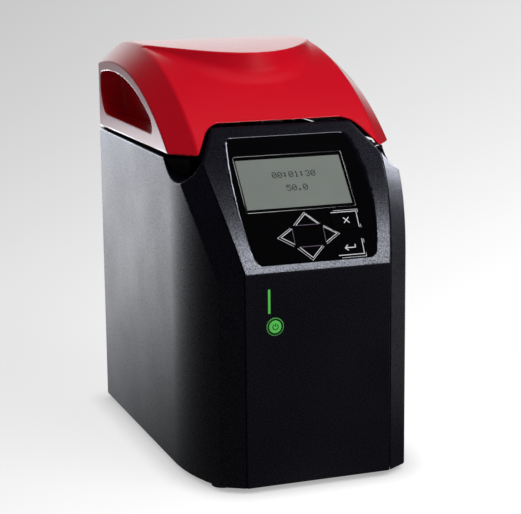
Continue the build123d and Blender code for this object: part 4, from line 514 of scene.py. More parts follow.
def lid_field(s, x, y, z):
    """Lid shell: skin inside the outline and round the grip pockets, less pockets and notch."""
    a = np.abs(x)
    outer = lid_outer_field(s, a, y, z)
    share = (y - s.front) / (s.lid_rear - s.front)
    low = s.lid_low_front + (s.lid_low_rear - s.lid_low_front) * share
    capped = both(outer, low - z, 1.0 * MM)
    shell = both(capped, -(outer + s.wall), 0.6 * MM)
    form = np.minimum(shell, every(capped, grip_field(s, a, y, z, s.wall)))
    form = both(form, -grip_field(s, a, y, z, 0.0), 1.0 * MM)
    form = both(form, -notch_field(s, a, y, z), 1.6 * MM)
    return both(form, -every(hinge_notch(a, y, 156.9 * MM), z - 288.6 * MM), 0.5 * MM)


def drawn_in(s, x, y, z):
    """Grid points with X shifted along the shoulders' arc, so that grid planes run beside it."""
    share = np.clip((np.abs(x) - 48.0 * MM) / (12.0 * MM), 0.0, 1.0)
    return [x + np.sign(x) * share * (shoulder_half(s, y) - shoulder_half(s, s.front)), y, z]


# ---------------------------------------------------------------- lines and plates on a surface
def on_console(s, x, arc, lift):
    """Points at x and this arc length above the lip, lift above the crown."""
    lip = np.arccos((s.crown_y - s.front) / s.crown)
    turn = lip + arc / s.crown
    radius = s.crown + lift
    return np.stack([x + 0 * turn, s.crown_y - radius * np.cos(turn) + 0 * x,
                     s.crown_z + radius * np.sin(turn) + 0 * x], axis=-1)


def on_front(s, x, z, lift):
    """Points at x and z, lift in front of the flat front."""
    return np.stack([x + 0 * z, s.front - lift + 0 * x, z + 0 * x], axis=-1)


def stroke(path, width):
    """Left and right edge of a line of this width along a path, mitred at its corners."""
    path = np.asarray(path, dtype=float)
    step = np.diff(path, axis=0)
    step /= np.linalg.norm(step, axis=1, keepdims=True)
    after, before = np.concatenate([step, step[-1:]]), np.concatenate([step[:1], step])
    across = np.stack([-after[:, 1], after[:, 0]], axis=1)
    side = np.stack([-(after + before)[:, 1], (after + before)[:, 0]], axis=1)
    side /= np.maximum((side * across).sum(axis=1, keepdims=True), 1e-6)
    return path + side * width / 2, path - side * width / 2


def band(path, width, low, high, place):
    """Points and quads of a bar along a path: four corners a step, closed by a cap at each end."""
    (left_x, left_v), (right_x, right_v) = (edge.T for edge in stroke(path, width))
    ring = np.stack([
        place(left_x, left_v, low), place(left_x, left_v, high),
        place(right_x, right_v, high), place(right_x, right_v, low),
    ], axis=1)
    index = np.arange(len(ring) * 4).reshape(-1, 4)
    return ring.reshape(-1, 3), np.concatenate([ring_quads(index), index[:1, ::-1], index[-1:]])


def plates(centres, width, height, low, high, place):
    """Points and quads of small upright blocks round the centres."""
    unit = np.array([[-0.5, -0.5], [0.5, -0.5], [0.5, 0.5], [-0.5, 0.5]]) * [width, height]
    flat = (np.asarray(centres)[:, None, :] + unit[None]).reshape(-1, 2)
    bottom = place(flat[:, 0], flat[:, 1], low).reshape(-1, 4, 3)
    top = place(flat[:, 0], flat[:, 1], high).reshape(-1, 4, 3)
    points = np.concatenate([bottom, top], axis=1).reshape(-1, 3)
    form = np.array([
        [4, 5, 6, 7], [3, 2, 1, 0], [0, 1, 5, 4], [1, 2, 6, 5], [2, 3, 7, 6], [3, 0, 4, 7],
    ])
    return points, (form[None] + np.arange(len(centres))[:, None, None] * 8).reshape(-1, 4)


def joined(name, parts):
    """One object from several lots of points and quads."""
    shift = np.cumsum([0] + [len(points) for points, _ in parts[:-1]])
    points = np.concatenate([points for points, _ in parts])
    quads = np.concatenate([quads + step for (_, quads), step in zip(parts, shift)])
    piece = mesh_object(name, points, quads)
    piece.data.shade_flat()
    return piece


def rounded(left, right, low, high, radius, steps=6):
    """Outline of a rectangle with round corners, anticlockwise from its lower right corner."""
    left, right, low, high = left + radius, right - radius, low + radius, high - radius
    points = []
    for quarter, (x, y) in enumerate(((right, low), (right, high), (left, high), (left, low))):
        angle = np.linspace(0, np.pi / 2, steps + 1) + (quarter - 1) * np.pi / 2
        points.append(np.stack([x + radius * np.cos(angle), y + radius * np.sin(angle)], axis=1))
    return np.concatenate(points)


# ---------------------------------------------------------------- materials
class Network:
    """Adds shader nodes to a tree. Each input is given a value or another node's output."""

    def __init__(self, tree):
        self.tree = tree

    def feed(self, socket, value):
        if isinstance(value, bpy.types.NodeSocket):
            self.tree.links.new(value, socket)
        else:
            socket.default_value = value

    def add(self, kind, inputs, **settings):
        """New node of this kind: its settings come first, then its inputs by name or number."""
        node = self.tree.nodes.new(kind if kind.startswith("NodeGroup") else "ShaderNode" + kind)
        for key, value in settings.items():
            setattr(node, key, value)
        for key, value in inputs.items():
            self.feed(node.inputs[key], value)
        return node

    def math(self, operation, *values):
        return self.add("Math", dict(enumerate(values)), operation=operation).outputs[0]

    def vector(self, operation, *values, out="Vector"):
        return self.add("VectorMath", dict(enumerate(values)), operation=operation).outputs[out]

    def ramp(self, value, start, end, low=0.0, high=1.0, kind="SMOOTHSTEP"):
        """Goes from low to high while the value goes from start to end."""
        inputs = {"Value": value, "From Min": start, "From Max": end, "To Min": low, "To Max": high}
        return self.add("MapRange", inputs, interpolation_type=kind).outputs["Result"]

    def mix(self, share, a, b, kind="FLOAT"):
        return self.add("Mix", {"Factor": share, "A": a, "B": b}, data_type=kind).outputs["Result"]

    def mix_shader(self, share, a, b):
        return self.add("MixShader", {0: share, 1: a, 2: b}).outputs[0]

    def attribute(self, name):
        return self.add("Attribute", {}, attribute_name=name).outputs["Fac"]

    def coordinates(self, kind):
        return self.add("TexCoord", {}).outputs[kind]

    def reflected(self):
        """1 for a ray that was reflected or passed through something, else 0."""
        rays = self.add("LightPath", {}).outputs
        return self.math("MAXIMUM", rays["Is Glossy Ray"], rays["Is Transmission Ray"])


def emptied(owner):
    """Network for the emptied node tree of a material or world."""
    owner.use_nodes = True
    owner.node_tree.nodes.clear()
    return Network(owner.node_tree)


def grain_group():
    """Node group: fine grain on Object coordinates that gives a colour, a roughness, a normal and
    a speckle from 0 to 1. A broad noise tints the colour and spreads the roughness."""
    name = "Fine grain"
    if name in bpy.data.node_groups:
        return bpy.data.node_groups[name]
    group = bpy.data.node_groups.new(name, "ShaderNodeTree")
    for label, kind, default in (
        ("Colour", "NodeSocketColor", (0.5, 0.5, 0.5, 1.0)), ("Scale", "NodeSocketFloat", 900.0),
        ("Tint", "NodeSocketFloat", 0.15), ("Roughness", "NodeSocketFloat", 0.5),
        ("Roughness spread", "NodeSocketFloat", 0.1), ("Bump", "NodeSocketFloat", 0.2),
        ("Height", "NodeSocketFloat", 0.0002),
    ):
        socket = group.interface.new_socket(label, in_out="INPUT", socket_type=kind)
        socket.default_value = default
    for label, kind in (
        ("Colour", "NodeSocketColor"), ("Roughness", "NodeSocketFloat"), ("Normal", "NodeSocketVector"),
        ("Speckle", "NodeSocketFloat"),
    ):
        group.interface.new_socket(label, in_out="OUTPUT", socket_type=kind)
    net = Network(group)
    given = net.add("NodeGroupInput", {}).outputs
    where = net.coordinates("Object")
    fine = net.add("TexNoise", {"Vector": where, "Scale": given["Scale"], "Detail": 3.0}).outputs["Fac"]
    broad = net.add("TexNoise", {"Vector": where, "Scale": 14.0, "Detail": 2.0}).outputs["Fac"]
    spread = net.ramp(broad, 0.3, 0.7, -1.0, 1.0, "LINEAR")
    tint = net.math("MULTIPLY_ADD", spread, given["Tint"], 1.0)
    shade = net.add("VectorMath", {0: given["Colour"], "Scale": tint}, operation="SCALE")
    rough = net.math("MULTIPLY_ADD", spread, given["Roughness spread"], given["Roughness"])
    bump = net.add("Bump", {"Strength": given["Bump"], "Distance": given["Height"], "Height": fine})
    net.add("NodeGroupOutput", {
        "Colour": shade.outputs["Vector"], "Roughness": rough, "Normal": bump.outputs["Normal"],
        "Speckle": net.ramp(fine, 0.36, 0.64, kind="LINEAR"),
    })
    return group


METAL = {"Metallic": 1.0}
DIM = {"Specular IOR Level": 0.3}
# Of each finish: its colour, roughness, the grain's scale, tint, spread of the roughness and bump,
# and further inputs of the shader. Emission takes the finish's own colour.
FINISHES = {
    "Lid lacquer": ("lid", 0.3, 500, 0.03, 0.02, 0.03,
                    {"Specular IOR Level": 0.2, "Coat Weight": 1.0, "Coat Roughness": 0.08}),
    "Body paint": ("body", 0.38, 1050, 0.12, 0.03, 0.3, {}),
    "Panel paint": ("panel", 0.34, 1050, 0.12, 0.03, 0.3, {}),
    "Fascia glass": ("glass", 0.10, 300, 0.10, 0.02, 0.02, DIM),
    "Key": ("glass", 0.22, 1200, 0.10, 0.03, 0.06, DIM),
    "Display": ("display", 0.35, 2500, 0.05, 0.03, 0.03, {}),
    "Ink": ("ink", 0.6, 2000, 0.1, 0.05, 0.02, {}),
    "Mark": ("mark", 0.45, 2000, 0.05, 0.05, 0.05, {}),
    "Dim painted reflection": ("dim_mark", 0.5, 2000, 0.05, 0.05, 0.05, {}),
    # The green glows by emission: on the light bar an indicator lamp, on the power button a painted
    # glow that brightens it.
    "Green": ("green", 0.35, 1500, 0.12, 0.05, 0.08, {"Emission Strength": 0.35}),
    "Power ring": ("plastic", 0.4, 1300, 0.15, 0.05, 0.1, {}),
    "Steel": ("steel", 0.32, 700, 0.10, 0.08, 0.08, METAL),
    "Aluminium": ("aluminium", 0.38, 900, 0.08, 0.06, 0.10, METAL),
    "Copper": ("copper", 0.35, 1500, 0.2, 0.08, 0.4, METAL),
    # Rubber has no reflection at all, so the rim seals in the gap under the lid stay dark: painted
    # shade on top of the rubber's own black.
    "Rubber": ("rubber", 0.75, 1100, 0.2, 0.08, 0.3, {"Specular IOR Level": 0.0}),
    "Plastic": ("plastic", 0.45, 1300, 0.15, 0.06, 0.25, {}),
    "Red plastic": ("red", 0.3, 900, 0.08, 0.05, 0.1, {}),
    "Liner": ("liner", 0.5, 1200, 0.1, 0.06, 0.3, {}),
    "Holder": ("holder", 0.4, 900, 0.05, 0.06, 0.12, {}),
    "Board": ("board", 0.4, 600, 0.25, 0.08, 0.2, {}),
}


def speckled(net, shader, grain):
    """Fine-textured paint: deeper grain, which also varies how strongly the paint reflects."""
    net.feed(grain.inputs["Height"], 0.3 * MM)
    level = net.ramp(grain.outputs["Speckle"], 0.0, 1.0, 0.15, kind="LINEAR")
    net.feed(shader.inputs["Specular IOR Level"], level)
    return level


def polished(net, shader, grain):
    """Such paint that is smooth and shiny where the piece's polish attribute is 1, and has no
    reflection where the attribute of the surfaces under the lid is 1: painted shade in that gap."""
    level = speckled(net, shader, grain)
    polish, painted_shade_under_lid = net.attribute("polish"), net.attribute("painted_shade_under_lid")
    net.feed(shader.inputs["Roughness"], net.mix(polish, grain.outputs["Roughness"], 0.12))
    net.feed(grain.inputs["Bump"], net.math("MULTIPLY_ADD", polish, -0.3, 0.3))
    net.feed(shader.inputs["Specular IOR Level"], net.mix(painted_shade_under_lid, net.mix(polish, level, 0.7), 0.0))


def ringed(net, shader, grain):
    """Green line near the power ring's rim: a mask of the distance from the button's axis."""
    across, from_axis = (1.0, 0.0, 1.0), (-BUTTON_X, 0.0, -BUTTON_Z)
    flat = net.vector("MULTIPLY_ADD", net.coordinates("Object"), across, from_axis)
    mask = net.math("COMPARE", net.vector("LENGTH", flat, out="Value"), 7.55 * MM, 0.4 * MM)
    green = (*bpy.context.scene.mill_colours.green, 1.0)
    net.feed(shader.inputs["Base Color"], net.mix(mask, grain.outputs["Colour"], green, "RGBA"))


REFINED = {"Body paint": speckled, "Panel paint": polished, "Power ring": ringed}


def finish(name):
    """Material with fine grain, made from its row of FINISHES when it is first asked for."""
    if name in bpy.data.materials:
        return bpy.data.materials[name]
    base, roughness, scale, tint, spread, bump, more = FINISHES[name]
    base = (*getattr(bpy.context.scene.mill_colours, base), 1.0)
    material = bpy.data.materials.new(name)
    net = emptied(material)
    grain = net.add("Group", {
        "Colour": base, "Scale": scale, "Tint": tint, "Roughness": roughness,
        "Roughness spread": spread, "Bump": bump,
    }, node_tree=grain_group())
    shader = net.add("BsdfPrincipled", {
        "Base Color": grain.outputs["Colour"], "Roughness": grain.outputs["Roughness"],
        "Normal": grain.outputs["Normal"], **more,
    })
    if "Emission Strength" in more:
        net.feed(shader.inputs["Emission Color"], base)
    net.add("OutputMaterial", {"Surface": shader.outputs["BSDF"]})
    if name in REFINED:
        REFINED[name](net, shader, grain)
    return material


def paint(piece, name):
    """Give a piece the finish of this name, and nothing else."""
    piece.data.materials.clear()
    piece.data.materials.append(finish(name))


# CAD nodes that show as they are, by finish. The others are steel.
NODE_FINISHES = {
    "Fascia glass": "fascia_glass",
    "Display": "display_window",
    "Key": "up_arrow_key down_arrow_key left_arrow_key right_arrow_key upper_side_key "
           "lower_side_key",
    "Green": "power_button status_light_bar",
    "Power ring": "power_ring",
    # The rim seals fill the gap under the lid; their reflectionless rubber keeps it dark, which is
    # partly painted shade.
    "Rubber": "rubber_feet rim_seals shaft_seal isolators",
    "Liner": "lid_liner",
    "Holder": "sample_holder",
    "Red plastic": "mains_rocker",
    "Plastic": "clamp_knob mains_inlet fuse_drawer fan_frame fan_rotor latch_unit lid_switch "
               "power_switch",
    "Board": "display_module keypad_board main_board",
    "Copper": "motor_stator",
    "Body paint": "rear_panel",
    "Aluminium": "top_deck motor_plate bearing_housing skew_hub carrier magnet_posts",
}

# Rows of each character, top row first; the highest of five bits is the left dot.
DIGITS = {
    "0": (14, 17, 19, 21, 25, 17, 14), "1": (4, 12, 4, 4, 4, 4, 14), "3": (14, 17, 1, 6, 1, 17, 14),
    "5": (31, 16, 30, 1, 1, 17, 14), ":": (0, 12, 12, 0, 12, 12, 0), ".": (0, 0, 0, 0, 0, 12, 12),
}


WHITE, COLD = (1.0, 1.0, 1.0), (0.84, 0.87, 1.0)
# Area lights: name, bearing and height in degrees, distance, width, height, radiance, piece, colour.
# A light with a piece shows only in that piece's reflections; any other one only lights diffusely.
LIGHTS = (
    ("front", 32, 38, 2.2, 1.5, 1.0, 5.4, None, WHITE),
    ("overhead", 60, 80, 2.0, 1.6, 1.6, 2.1, None, WHITE),
    ("left_behind", 194, 10, 2.2, 1.0, 1.1, 6.5, "housing_skin", COLD),
    ("right", 116, 22, 2.0, 0.9, 0.30, 31.0, "housing_skin", COLD),
    ("bevel", 94, 36, 2.0, 0.5, 0.8, 11.0, "panel_skin", COLD),
    ("console", 25, 33, 2.0, 0.8, 0.50, 18.0, "panel_skin", COLD),
    ("edges", 20, 1, 2.0, 1.0, 0.35, 28.0, "lid_skin", WHITE),
    ("window", 20, 66, 2.0, 0.9, 0.3, 40.0, "display_frame", WHITE),
)


def direction(bearing, height):
    """Way to what stands at this bearing from the front, towards +X, and at this height."""
    bearing, height = np.radians(bearing), np.radians(height)
    level = np.cos(height)
    return Vector((np.sin(bearing) * level, -np.cos(bearing) * level, np.sin(height)))


# ---------------------------------------------------------------- operators
class MILL_OT_lid(bpy.types.Operator):
    """Lid shell: a crown turned about a cross axis, flanks, a raised brow, grips and a notch"""

    bl_idname = "mill.lid"
    bl_label = "Lid"

    def execute(self, context):
        s = context.scene.mill_sizes
        margin = 8.0 * MM

        def hidden(x, y, z):
            """Inner side of the skin, away from the edges that can be seen."""
            a = np.abs(x)
            inner = lid_outer_field(s, a, y, z) < -0.8 * s.wall
            clear = grip_field(s, a, y, z, 0.0) > 0.8 * s.wall
            return inner & clear & (z > s.lid_low_front + margin) & (notch_field(s, a, y, z) > margin)

        piece = skin(
            "lid_skin", partial(lid_field, s),
            graded((-106.5, -58, 1.25), (-58, 58, 1.7), (58, 106.5, 1.25)),
            graded((-105, 12, 1.35), (12, 130, 1.9), (130, 168.5, 1.3)),
            graded((283, 373, 1.3)),
            drop=hidden,
        )
        paint(piece, "Lid lacquer")
        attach(piece, "lid")
        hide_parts("lid_shell")
        return {"FINISHED"}


class MILL_OT_housing(bpy.types.Operator):
    """Housing: an upright outline with slanted facets under the crown, finger scoops, rear window"""

    bl_idname = "mill.housing"
    bl_label = "Housing"

    def execute(self, context):
        s = context.scene.mill_sizes

        def hidden(x, y, z):
            """Inner side of the skin, away from the edges that can be seen."""
            inner = body_field(s, np.abs(x), y, z) < -0.8 * s.wall
            return inner & (z > 12.0 * MM) & (z < 240.0 * MM) & (y < s.rear - 9.0 * MM)

        piece = skin(
            "housing_skin", partial(housing_field, s),
            graded((-89, -64, 1.1), (-64, -49, 3), (-49, 49, 7), (49, 64, 3), (64, 89, 1.1)),
            graded((-170, -64, 1.4), (-64, 154, 6), (154, 170, 1.1)),
            graded((3.5, 8, 1), (8, 24, 4), (24, 30, 1), (30, 128, 7), (128, 136, 1), (136, 180, 5),
                   (180, 200, 1.3), (200, 248, 2.2), (248, 283.5, 1.15)),
            drop=hidden, warp=partial(drawn_in, s),
        )
        paint(piece, "Body paint")
        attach(piece, "base")
        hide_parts("housing")
        return {"FINISHED"}


class MILL_OT_panel(bpy.types.Operator):
    """Front panel: the flat front and the console's arc, with the fascia's bevelled seat"""

    bl_idname = "mill.panel"
    bl_label = "Front panel"

    def execute(self, context):
        s = context.scene.mill_sizes
        piece = skin(
            "panel_skin", partial(panel_field, s),
            graded((-68, -50, 1.0), (-50, -48, 1), (-48, -43, 0.45), (-43, -31, 1.1), (-31, 48, 2.5),
                   (48, 68, 1.0)),
            graded((-170, -150, 0.9), (-150, -69, 1.3)),
            graded((3.5, 8, 1), (8, 136, 8), (136, 182, 1.1), (182, 310, 1.25)),
            warp=partial(drawn_in, s),
        )
        self.polish(s, piece.data)
        paint(piece, "Panel paint")
        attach(piece, "base")
        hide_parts("front_panel")
        return {"FINISHED"}

    def polish(self, s, mesh):
        """Mark the bevel round the fascia as polished, and what lies under the lid for painted shade.
        """
        points = np.zeros(len(mesh.vertices) * 3)
        mesh.vertices.foreach_get("co", points)
        x, y, z = points.reshape(-1, 3).T
        v = fascia_height(s, y, z)
        glass = glass_field(x, v)
        edge = (1.1 * bevel_spread(np.abs(x), v) + 0.5) * MM
        near = np.hypot(y - s.crown_y, z - s.crown_z) > s.crown - 4.0 * MM
        bevel = near & (glass > -MM) & (glass < edge)
        # Painted shade: the surfaces under the lid lose their reflection, so the gap there stays dark.
        inner = (front_field(s, y, z) < -1.5 * MM) & (z > 240.0 * MM)
        for name, mask in (("polish", bevel), ("painted_shade_under_lid", inner)):
            layer = mesh.attributes.new(name, "FLOAT", "POINT")
            layer.data.foreach_set("value", mask.astype(np.float32))


class MILL_OT_display(bpy.types.Operator):
    """Display: a raised frame round a sunken flat screen, and the digits on it"""

    bl_idname = "mill.display"
    bl_label = "Display"

    def execute(self, context):
        s = context.scene.mill_sizes
        outer = rounded(-56.0 * MM, 46.0 * MM, 53.5 * MM, 112.0 * MM, 1.5 * MM)
        inner = rounded(-53.0 * MM, 43.3 * MM, 59.3 * MM, 107.6 * MM, 0.4 * MM)
        # Share of the way from the outer to the inner outline, and lift above the crown in mm.
        profile = (
            (-0.01, -1.6), (-0.01, -0.6), (0.0, -0.42), (0.05, -0.32), (0.14, -0.28), (0.23, -0.32),
            (0.30, -0.45), (0.36, -0.8), (0.70, -1.7), (1.0, -2.5), (1.0, -3.2),
        )
        rings = []
        for share, lift in profile:
            x, arc = (outer + (inner - outer) * share).T
            rings.append(on_console(s, x, arc, lift * MM))
        quads = ring_quads(np.arange(len(rings) * len(outer)).reshape(len(rings), -1))
        frame_piece = mesh_object("display_frame", np.concatenate(rings), quads)
        paint(frame_piece, "Fascia glass")
        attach(frame_piece, "base")
        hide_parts("display_window")

        middle_x, middle_arc, depth = -5.1 * MM, 82.5 * MM, -3.1 * MM
        half_x, half_v = 48.6 * MM, 25.7 * MM
        origin = on_console(s, np.array(middle_x), np.array(middle_arc), depth)
        up = on_console(s, np.array(middle_x), np.array(middle_arc + MM), depth) - origin
        up /= np.linalg.norm(up)
        out = np.cross([1.0, 0.0, 0.0], up)

        def flat(x, v, lift):
            """Points at x and v, lift in front of the screen's plane."""
            across = np.multiply.outer(x - middle_x, [1.0, 0, 0])
            return origin + across + np.multiply.outer(v, up) + np.multiply.outer(lift + 0 * x, out)

        x, v = np.meshgrid(
            np.linspace(-half_x, half_x, 40) + middle_x, np.linspace(-half_v, half_v, 24), indexing="ij"
        )
        quads = grid_quads(np.arange(x.size).reshape(x.shape))
        screen = mesh_object("display_screen", flat(x.ravel(), v.ravel(), 0.0), quads)
        paint(screen, "Display")
        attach(screen, "base")

        pitch = 0.86 * MM
        dots = []
        for text, row in (("00:01:30", 9.0 * MM), ("50.0", -4.5 * MM)):
            start = middle_x + 2.0 * MM - (len(text) * 6 - 1) * pitch / 2
            for place, letter in enumerate(text):
                for line, bits in enumerate(DIGITS[letter]):
                    for column in range(5):
                        if bits >> (4 - column) & 1:
                            across = start + (place * 6 + column + 0.5) * pitch
                            dots.append((across, row + (3 - line) * pitch))
        size, lift = 0.92 * pitch, 0.05 * MM
        digits = joined("display_digits", [plates(dots, size, size, -lift, lift, flat)])
        paint(digits, "Ink")
        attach(digits, "base")
        return {"FINISHED"}


class MILL_OT_marks(bpy.types.Operator):
    """Painted highlights and reflections on the key edges; printed symbols of keys and power button"""

    bl_idname = "mill.marks"
    bl_label = "Marks"

    def execute(self, context):
        s = context.scene.mill_sizes
        glass_lift, key_lift = -0.6 * MM, 0.5 * MM
        thin, fine, bold, broad = 0.4, 0.6, 0.65, 0.8

        def line(path, width, lift):
            """Line on the console along a path of x and arc, in millimetres, for print and painted
            highlights.
            """
            return band(np.asarray(path) * MM, width * MM, lift - 0.08 * MM, lift + 0.06 * MM,
                        lambda x, arc, high: on_console(s, x, arc, high))

        def piece(name, parts, look, body, slot):
            thing = joined(name, parts)
            paint(thing, look)
            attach(thing, body)

        # Of each arrow key: its way, its base and tip from the middle of the four, half its base.
        pad = np.array([-3.8, 30.2])
        arrows = {
            "up": ((0, 1), 9.3, 20.9, 12.2), "down": ((0, -1), 9.3, 20.9, 12.2),
            "left": ((-1, 0), 13.8, 27.2, 8.4), "right": ((1, 0), 13.8, 27.2, 8.4),
        }
        fascia_lines = []
        for name, (way, base, reach, half) in arrows.items():
            way = np.array(way, dtype=float)
            across = np.array([way[1], -way[0]])

            def corner(inset, end):
                """Corner of the arrow drawn in by inset: its tip for 0, a base corner for -1 or 1."""
                tip = reach - inset * np.hypot(half, reach - base) / half
                foot = base + inset
                wide = half * (tip - foot) / (reach - base)
                return pad + (way * tip if end == 0 else way * foot + end * across * wide)

            # Along each arrow's slanted edges, on the key and on the glass: painted highlights on its
            # bevel; along its base a faint painted reflection.
            sides = line([corner(0.8, -1), corner(0.8, 0), corner(0.8, 1)], fine, key_lift)
            piece(name + "_arrow_lines", [sides], "Mark", name + "_key", "key_plastic")
            base_reflection = line([corner(0.45, -1), corner(0.45, 1)], 0.5, key_lift)
            piece(name + "_arrow_base", [base_reflection], "Dim painted reflection", name + "_key", "key_plastic")
            tip, feet = corner(-0.75, 0), [corner(-0.75, -1), corner(-0.75, 1)]
            first, last = (foot + 0.14 * (tip - foot) for foot in feet)
            fascia_lines.append(line([first, tip, last], thin, glass_lift))

        # The side keys' edges carry painted highlights; their own lines run inside them, and the
        # glass's lines outside.
        left, right = 19.0, 45.0
        (low_a, high_a), (low_b, high_b) = (33.4, 50.6), (8.9, 24.7)
        x, top, foot = right - 1.3, high_a - 1.3, low_b + 1.3
        upper = [line([(left + 1, top), (x, top), (x, low_a + 1)], bold, key_lift)]
        lower = [line([(x, high_b - 1), (x, foot), (left + 1, foot)], bold, key_lift)]
        x, top, foot = right + 0.8, high_a + 0.8, low_b - 0.8
        fascia_lines.append(line([(left + 4, top), (x, top), (x, low_a + 1)], thin, glass_lift))
        fascia_lines.append(line([(x, high_b - 1), (x, foot), (left + 4, foot)], thin, glass_lift))
        x, arc, reach = 33.0, 41.5, 2.5
        for tilt in (1, -1):
            cross = [(x - reach, arc - tilt * reach), (x + reach, arc + tilt * reach)]
            upper.append(line(cross, broad, key_lift))
        x, arc = 31.5, 16.5
        for path in (
            [(x + 5, arc + 2.8), (x + 5, arc), (x - 4, arc)],
            [(x - 1.8, arc + 2.4), (x - 4.4, arc), (x - 1.8, arc - 2.4)],
        ):
            lower.append(line(path, broad, key_lift))
        piece("upper_key_marks", upper, "Mark", "upper_key", "key_plastic")
        piece("lower_key_marks", lower, "Mark", "lower_key", "key_plastic")
        piece("fascia_lines", fascia_lines, "Mark", "base", "fascia")

        axis = np.array([BUTTON_X, BUTTON_Z])
        turn = np.radians(np.linspace(60, -240, 41))
        circle = axis + 2.4 * MM * np.stack([np.cos(turn), np.sin(turn)], axis=1)
        bar = axis + np.array([(0, 0.2), (0, 3.0)]) * MM
        symbol = [
            band(path, broad * MM, 1.3 * MM, 1.43 * MM, lambda x, z, lift: on_front(s, x, z, lift))
            for path in (circle, bar)
        ]
        piece("power_symbol", symbol, "Ink", "power_key", "black_plastic")
        return {"FINISHED"}


class MILL_OT_looks(bpy.types.Operator):
    """Finishes of the CAD pieces that show as they are"""

    bl_idname = "mill.looks"
    bl_label = "Finishes"

    def execute(self, context):
        given = {node: name for name, nodes in NODE_FINISHES.items() for node in nodes.split()}
        for name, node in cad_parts.items():
            if not node.hide_render:
                paint(node, given.get(name, "Steel"))
        return {"FINISHED"}


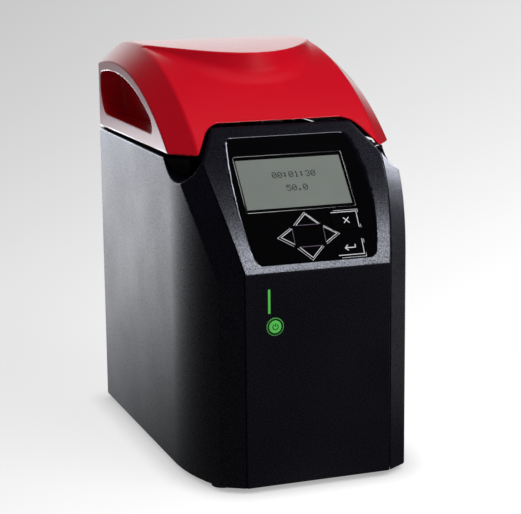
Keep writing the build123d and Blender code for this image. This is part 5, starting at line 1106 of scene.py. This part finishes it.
class MILL_OT_stage(bpy.types.Operator):
    """Floor, soft lights, world and the camera at the photograph's angle"""

    bl_idname = "mill.stage"
    bl_label = "Stage"

    def execute(self, context):
        scene = context.scene
        eye, bearing, height, roll = Vector((-0.5143, -1.4503, 0.4964)), -19.79, 11.91, -0.62
        turn = (-direction(bearing, height)).to_track_quat("-Z", "Y").to_matrix()
        turn = turn @ Matrix.Rotation(np.radians(roll), 3, "Z")

        lines = np.linspace(-40.0, 40.0, 5)
        x, y = (line.ravel() for line in np.meshgrid(lines, lines, indexing="ij"))
        quads = grid_quads(np.arange(x.size).reshape(len(lines), len(lines)))
        floor = mesh_object("floor", np.stack([x, y, 0 * x], axis=1), quads)
        floor.data.materials.append(self.floor_material(eye, turn))
        self.world(scene)
        for light in LIGHTS:
            self.softbox(scene, *light)

        camera = bpy.data.cameras.new("camera")
        camera.lens = 114.35
        camera.sensor_width = 36.0
        camera.clip_end = 200.0
        holder = bpy.data.objects.new("camera", camera)
        holder.matrix_world = Matrix.Translation(eye) @ turn.to_4x4()
        scene.collection.objects.link(holder)
        scene.camera = holder
        scene.view_settings.view_transform = "Standard"
        return {"FINISHED"}

    def softbox(self, scene, name, bearing, height, distance, width, tall, radiance, piece, tone):
        """Area light of the table LIGHTS, turned towards the middle of the object."""
        light = bpy.data.lights.new(name, "AREA")
        light.shape = "RECTANGLE"
        light.size, light.size_y = width, tall
        light.energy = radiance * width * tall * np.pi
        light.color = tone
        way = direction(bearing, height)
        holder = bpy.data.objects.new(name, light)
        holder.location = Vector((0.0, 0.0, 0.2)) + way * distance
        holder.rotation_euler = (-way).to_track_quat("-Z", "Y").to_euler()
        holder.visible_glossy = piece is not None
        holder.visible_diffuse = piece is None
        if piece:
            label = "lit " + piece
            if label not in bpy.data.collections:
                bpy.data.collections.new(label).objects.link(bpy.data.objects[piece])
            holder.light_linking.receiver_collection = bpy.data.collections[label]
        scene.collection.objects.link(holder)

    def floor_material(self, eye, turn):
        """Floor that a camera ray sees as a pale backdrop, darker to the left and the rear, with the
        object's shadow. A reflection sees it bright behind the object, falling off far away, dim
        beside it at the right and dark before it. Any other ray sees plain grey."""
        material = bpy.data.materials.new("Floor")
        net = emptied(material)
        where = net.coordinates("Object")
        offset = net.vector("SUBTRACT", where, eye)
        right, above, back = (
            net.vector("DOT_PRODUCT", offset, turn.col[axis], out="Value") for axis in range(3)
        )
        depth = net.math("MULTIPLY", back, -1.0)
        focal = 3.176
        shade = net.math("MULTIPLY_ADD", net.math("DIVIDE", right, depth), 0.26 * focal, 0.863)
        shade = net.math("MULTIPLY_ADD", net.math("DIVIDE", above, depth), -0.31 * focal, shade)
        shade = net.math("MINIMUM", net.math("MAXIMUM", shade, 0.5), 1.0)
        glow = net.math("MULTIPLY_ADD", shade, 0.93, 0.22)
        contact = net.add("AmbientOcclusion", {"Distance": 0.025}, samples=8).outputs["AO"]
        contact = net.math("MULTIPLY_ADD", contact, 0.6, 0.4)
        seen = net.add("Emission", {"Color": glow, "Strength": contact}).outputs[0]
        lit = net.add("BsdfDiffuse", {"Color": shade}).outputs[0]
        backdrop = net.mix_shader(0.25, seen, lit)

        place = net.add("SeparateXYZ", {0: where}).outputs
        behind = net.math("SUBTRACT", place["Y"], net.math("ABSOLUTE", place["X"]))
        behind = net.ramp(behind, -0.30, 0.9, 0.05, 3.1)
        behind = net.math("MULTIPLY", behind, net.ramp(place["Y"], 1.3, 2.8, 1.0, 0.16))
        beside = net.math("MULTIPLY_ADD", place["Y"], 1.2, place["X"])
        strength = net.math("MAXIMUM", behind, net.ramp(beside, -0.1, 0.3, 0.0, 0.35))
        mirrored = net.add("Emission", {"Color": (0.93, 0.95, 1.0, 1.0), "Strength": strength})
        bounce = net.add("BsdfDiffuse", {"Color": (0.45, 0.45, 0.47, 1.0)})
        first = net.mix_shader(net.reflected(), bounce.outputs[0], mirrored.outputs[0])
        from_camera = net.add("LightPath", {}).outputs["Is Camera Ray"]
        net.add("OutputMaterial", {"Surface": net.mix_shader(from_camera, first, backdrop)})
        return material

    def world(self, scene):
        """World: dim and even for diffuse light. A reflection sees it bright low down behind the
        object, and dimmer there to the left."""
        scene.world = bpy.data.worlds.new("World")
        net = emptied(scene.world)
        way = net.add("SeparateXYZ", {0: net.coordinates("Generated")}).outputs
        low, right = net.ramp(way["Z"], 0.80, 0.25), net.ramp(way["X"], -0.40, 0.0, 0.08)
        level = net.math("MULTIPLY", net.ramp(way["Y"], 0.70, 0.92), net.math("MULTIPLY", right, low))
        level = net.math("MULTIPLY_ADD", level, 1.08, 0.03)
        mirrored = net.add("Background", {"Strength": level}).outputs[0]
        even = net.add("Background", {"Color": (0.9, 0.92, 1.0, 1.0), "Strength": 0.12}).outputs[0]
        net.add("OutputWorld", {"Surface": net.mix_shader(net.reflected(), even, mirrored)})


class MILL_PT_panel(bpy.types.Panel):
    """Buttons that build each piece, in the sidebar of the 3D view"""

    bl_label = "Mill"
    bl_idname = "MILL_PT_panel"
    bl_space_type = "VIEW_3D"
    bl_region_type = "UI"
    bl_category = "Mill"

    def draw(self, context):
        for operator in OPERATORS:
            self.layout.operator(operator.bl_idname)


OPERATORS = (
    MILL_OT_lid, MILL_OT_housing, MILL_OT_panel, MILL_OT_display, MILL_OT_marks, MILL_OT_looks,
    MILL_OT_stage,
)
CLASSES = (MillSizes, MillColours) + OPERATORS + (MILL_PT_panel,)


def register():
    for cls in CLASSES:
        bpy.utils.register_class(cls)
    bpy.types.Scene.mill_sizes = bpy.props.PointerProperty(type=MillSizes)
    bpy.types.Scene.mill_colours = bpy.props.PointerProperty(type=MillColours)


def unregister():
    del bpy.types.Scene.mill_colours
    del bpy.types.Scene.mill_sizes
    for cls in reversed(CLASSES):
        bpy.utils.unregister_class(cls)


def main():
    register()
    bpy.ops.mill.lid()
    bpy.ops.mill.housing()
    bpy.ops.mill.panel()
    bpy.ops.mill.display()
    bpy.ops.mill.marks()
    bpy.ops.mill.looks()
    bpy.ops.mill.stage()


if __name__ == "__main__":
    main()
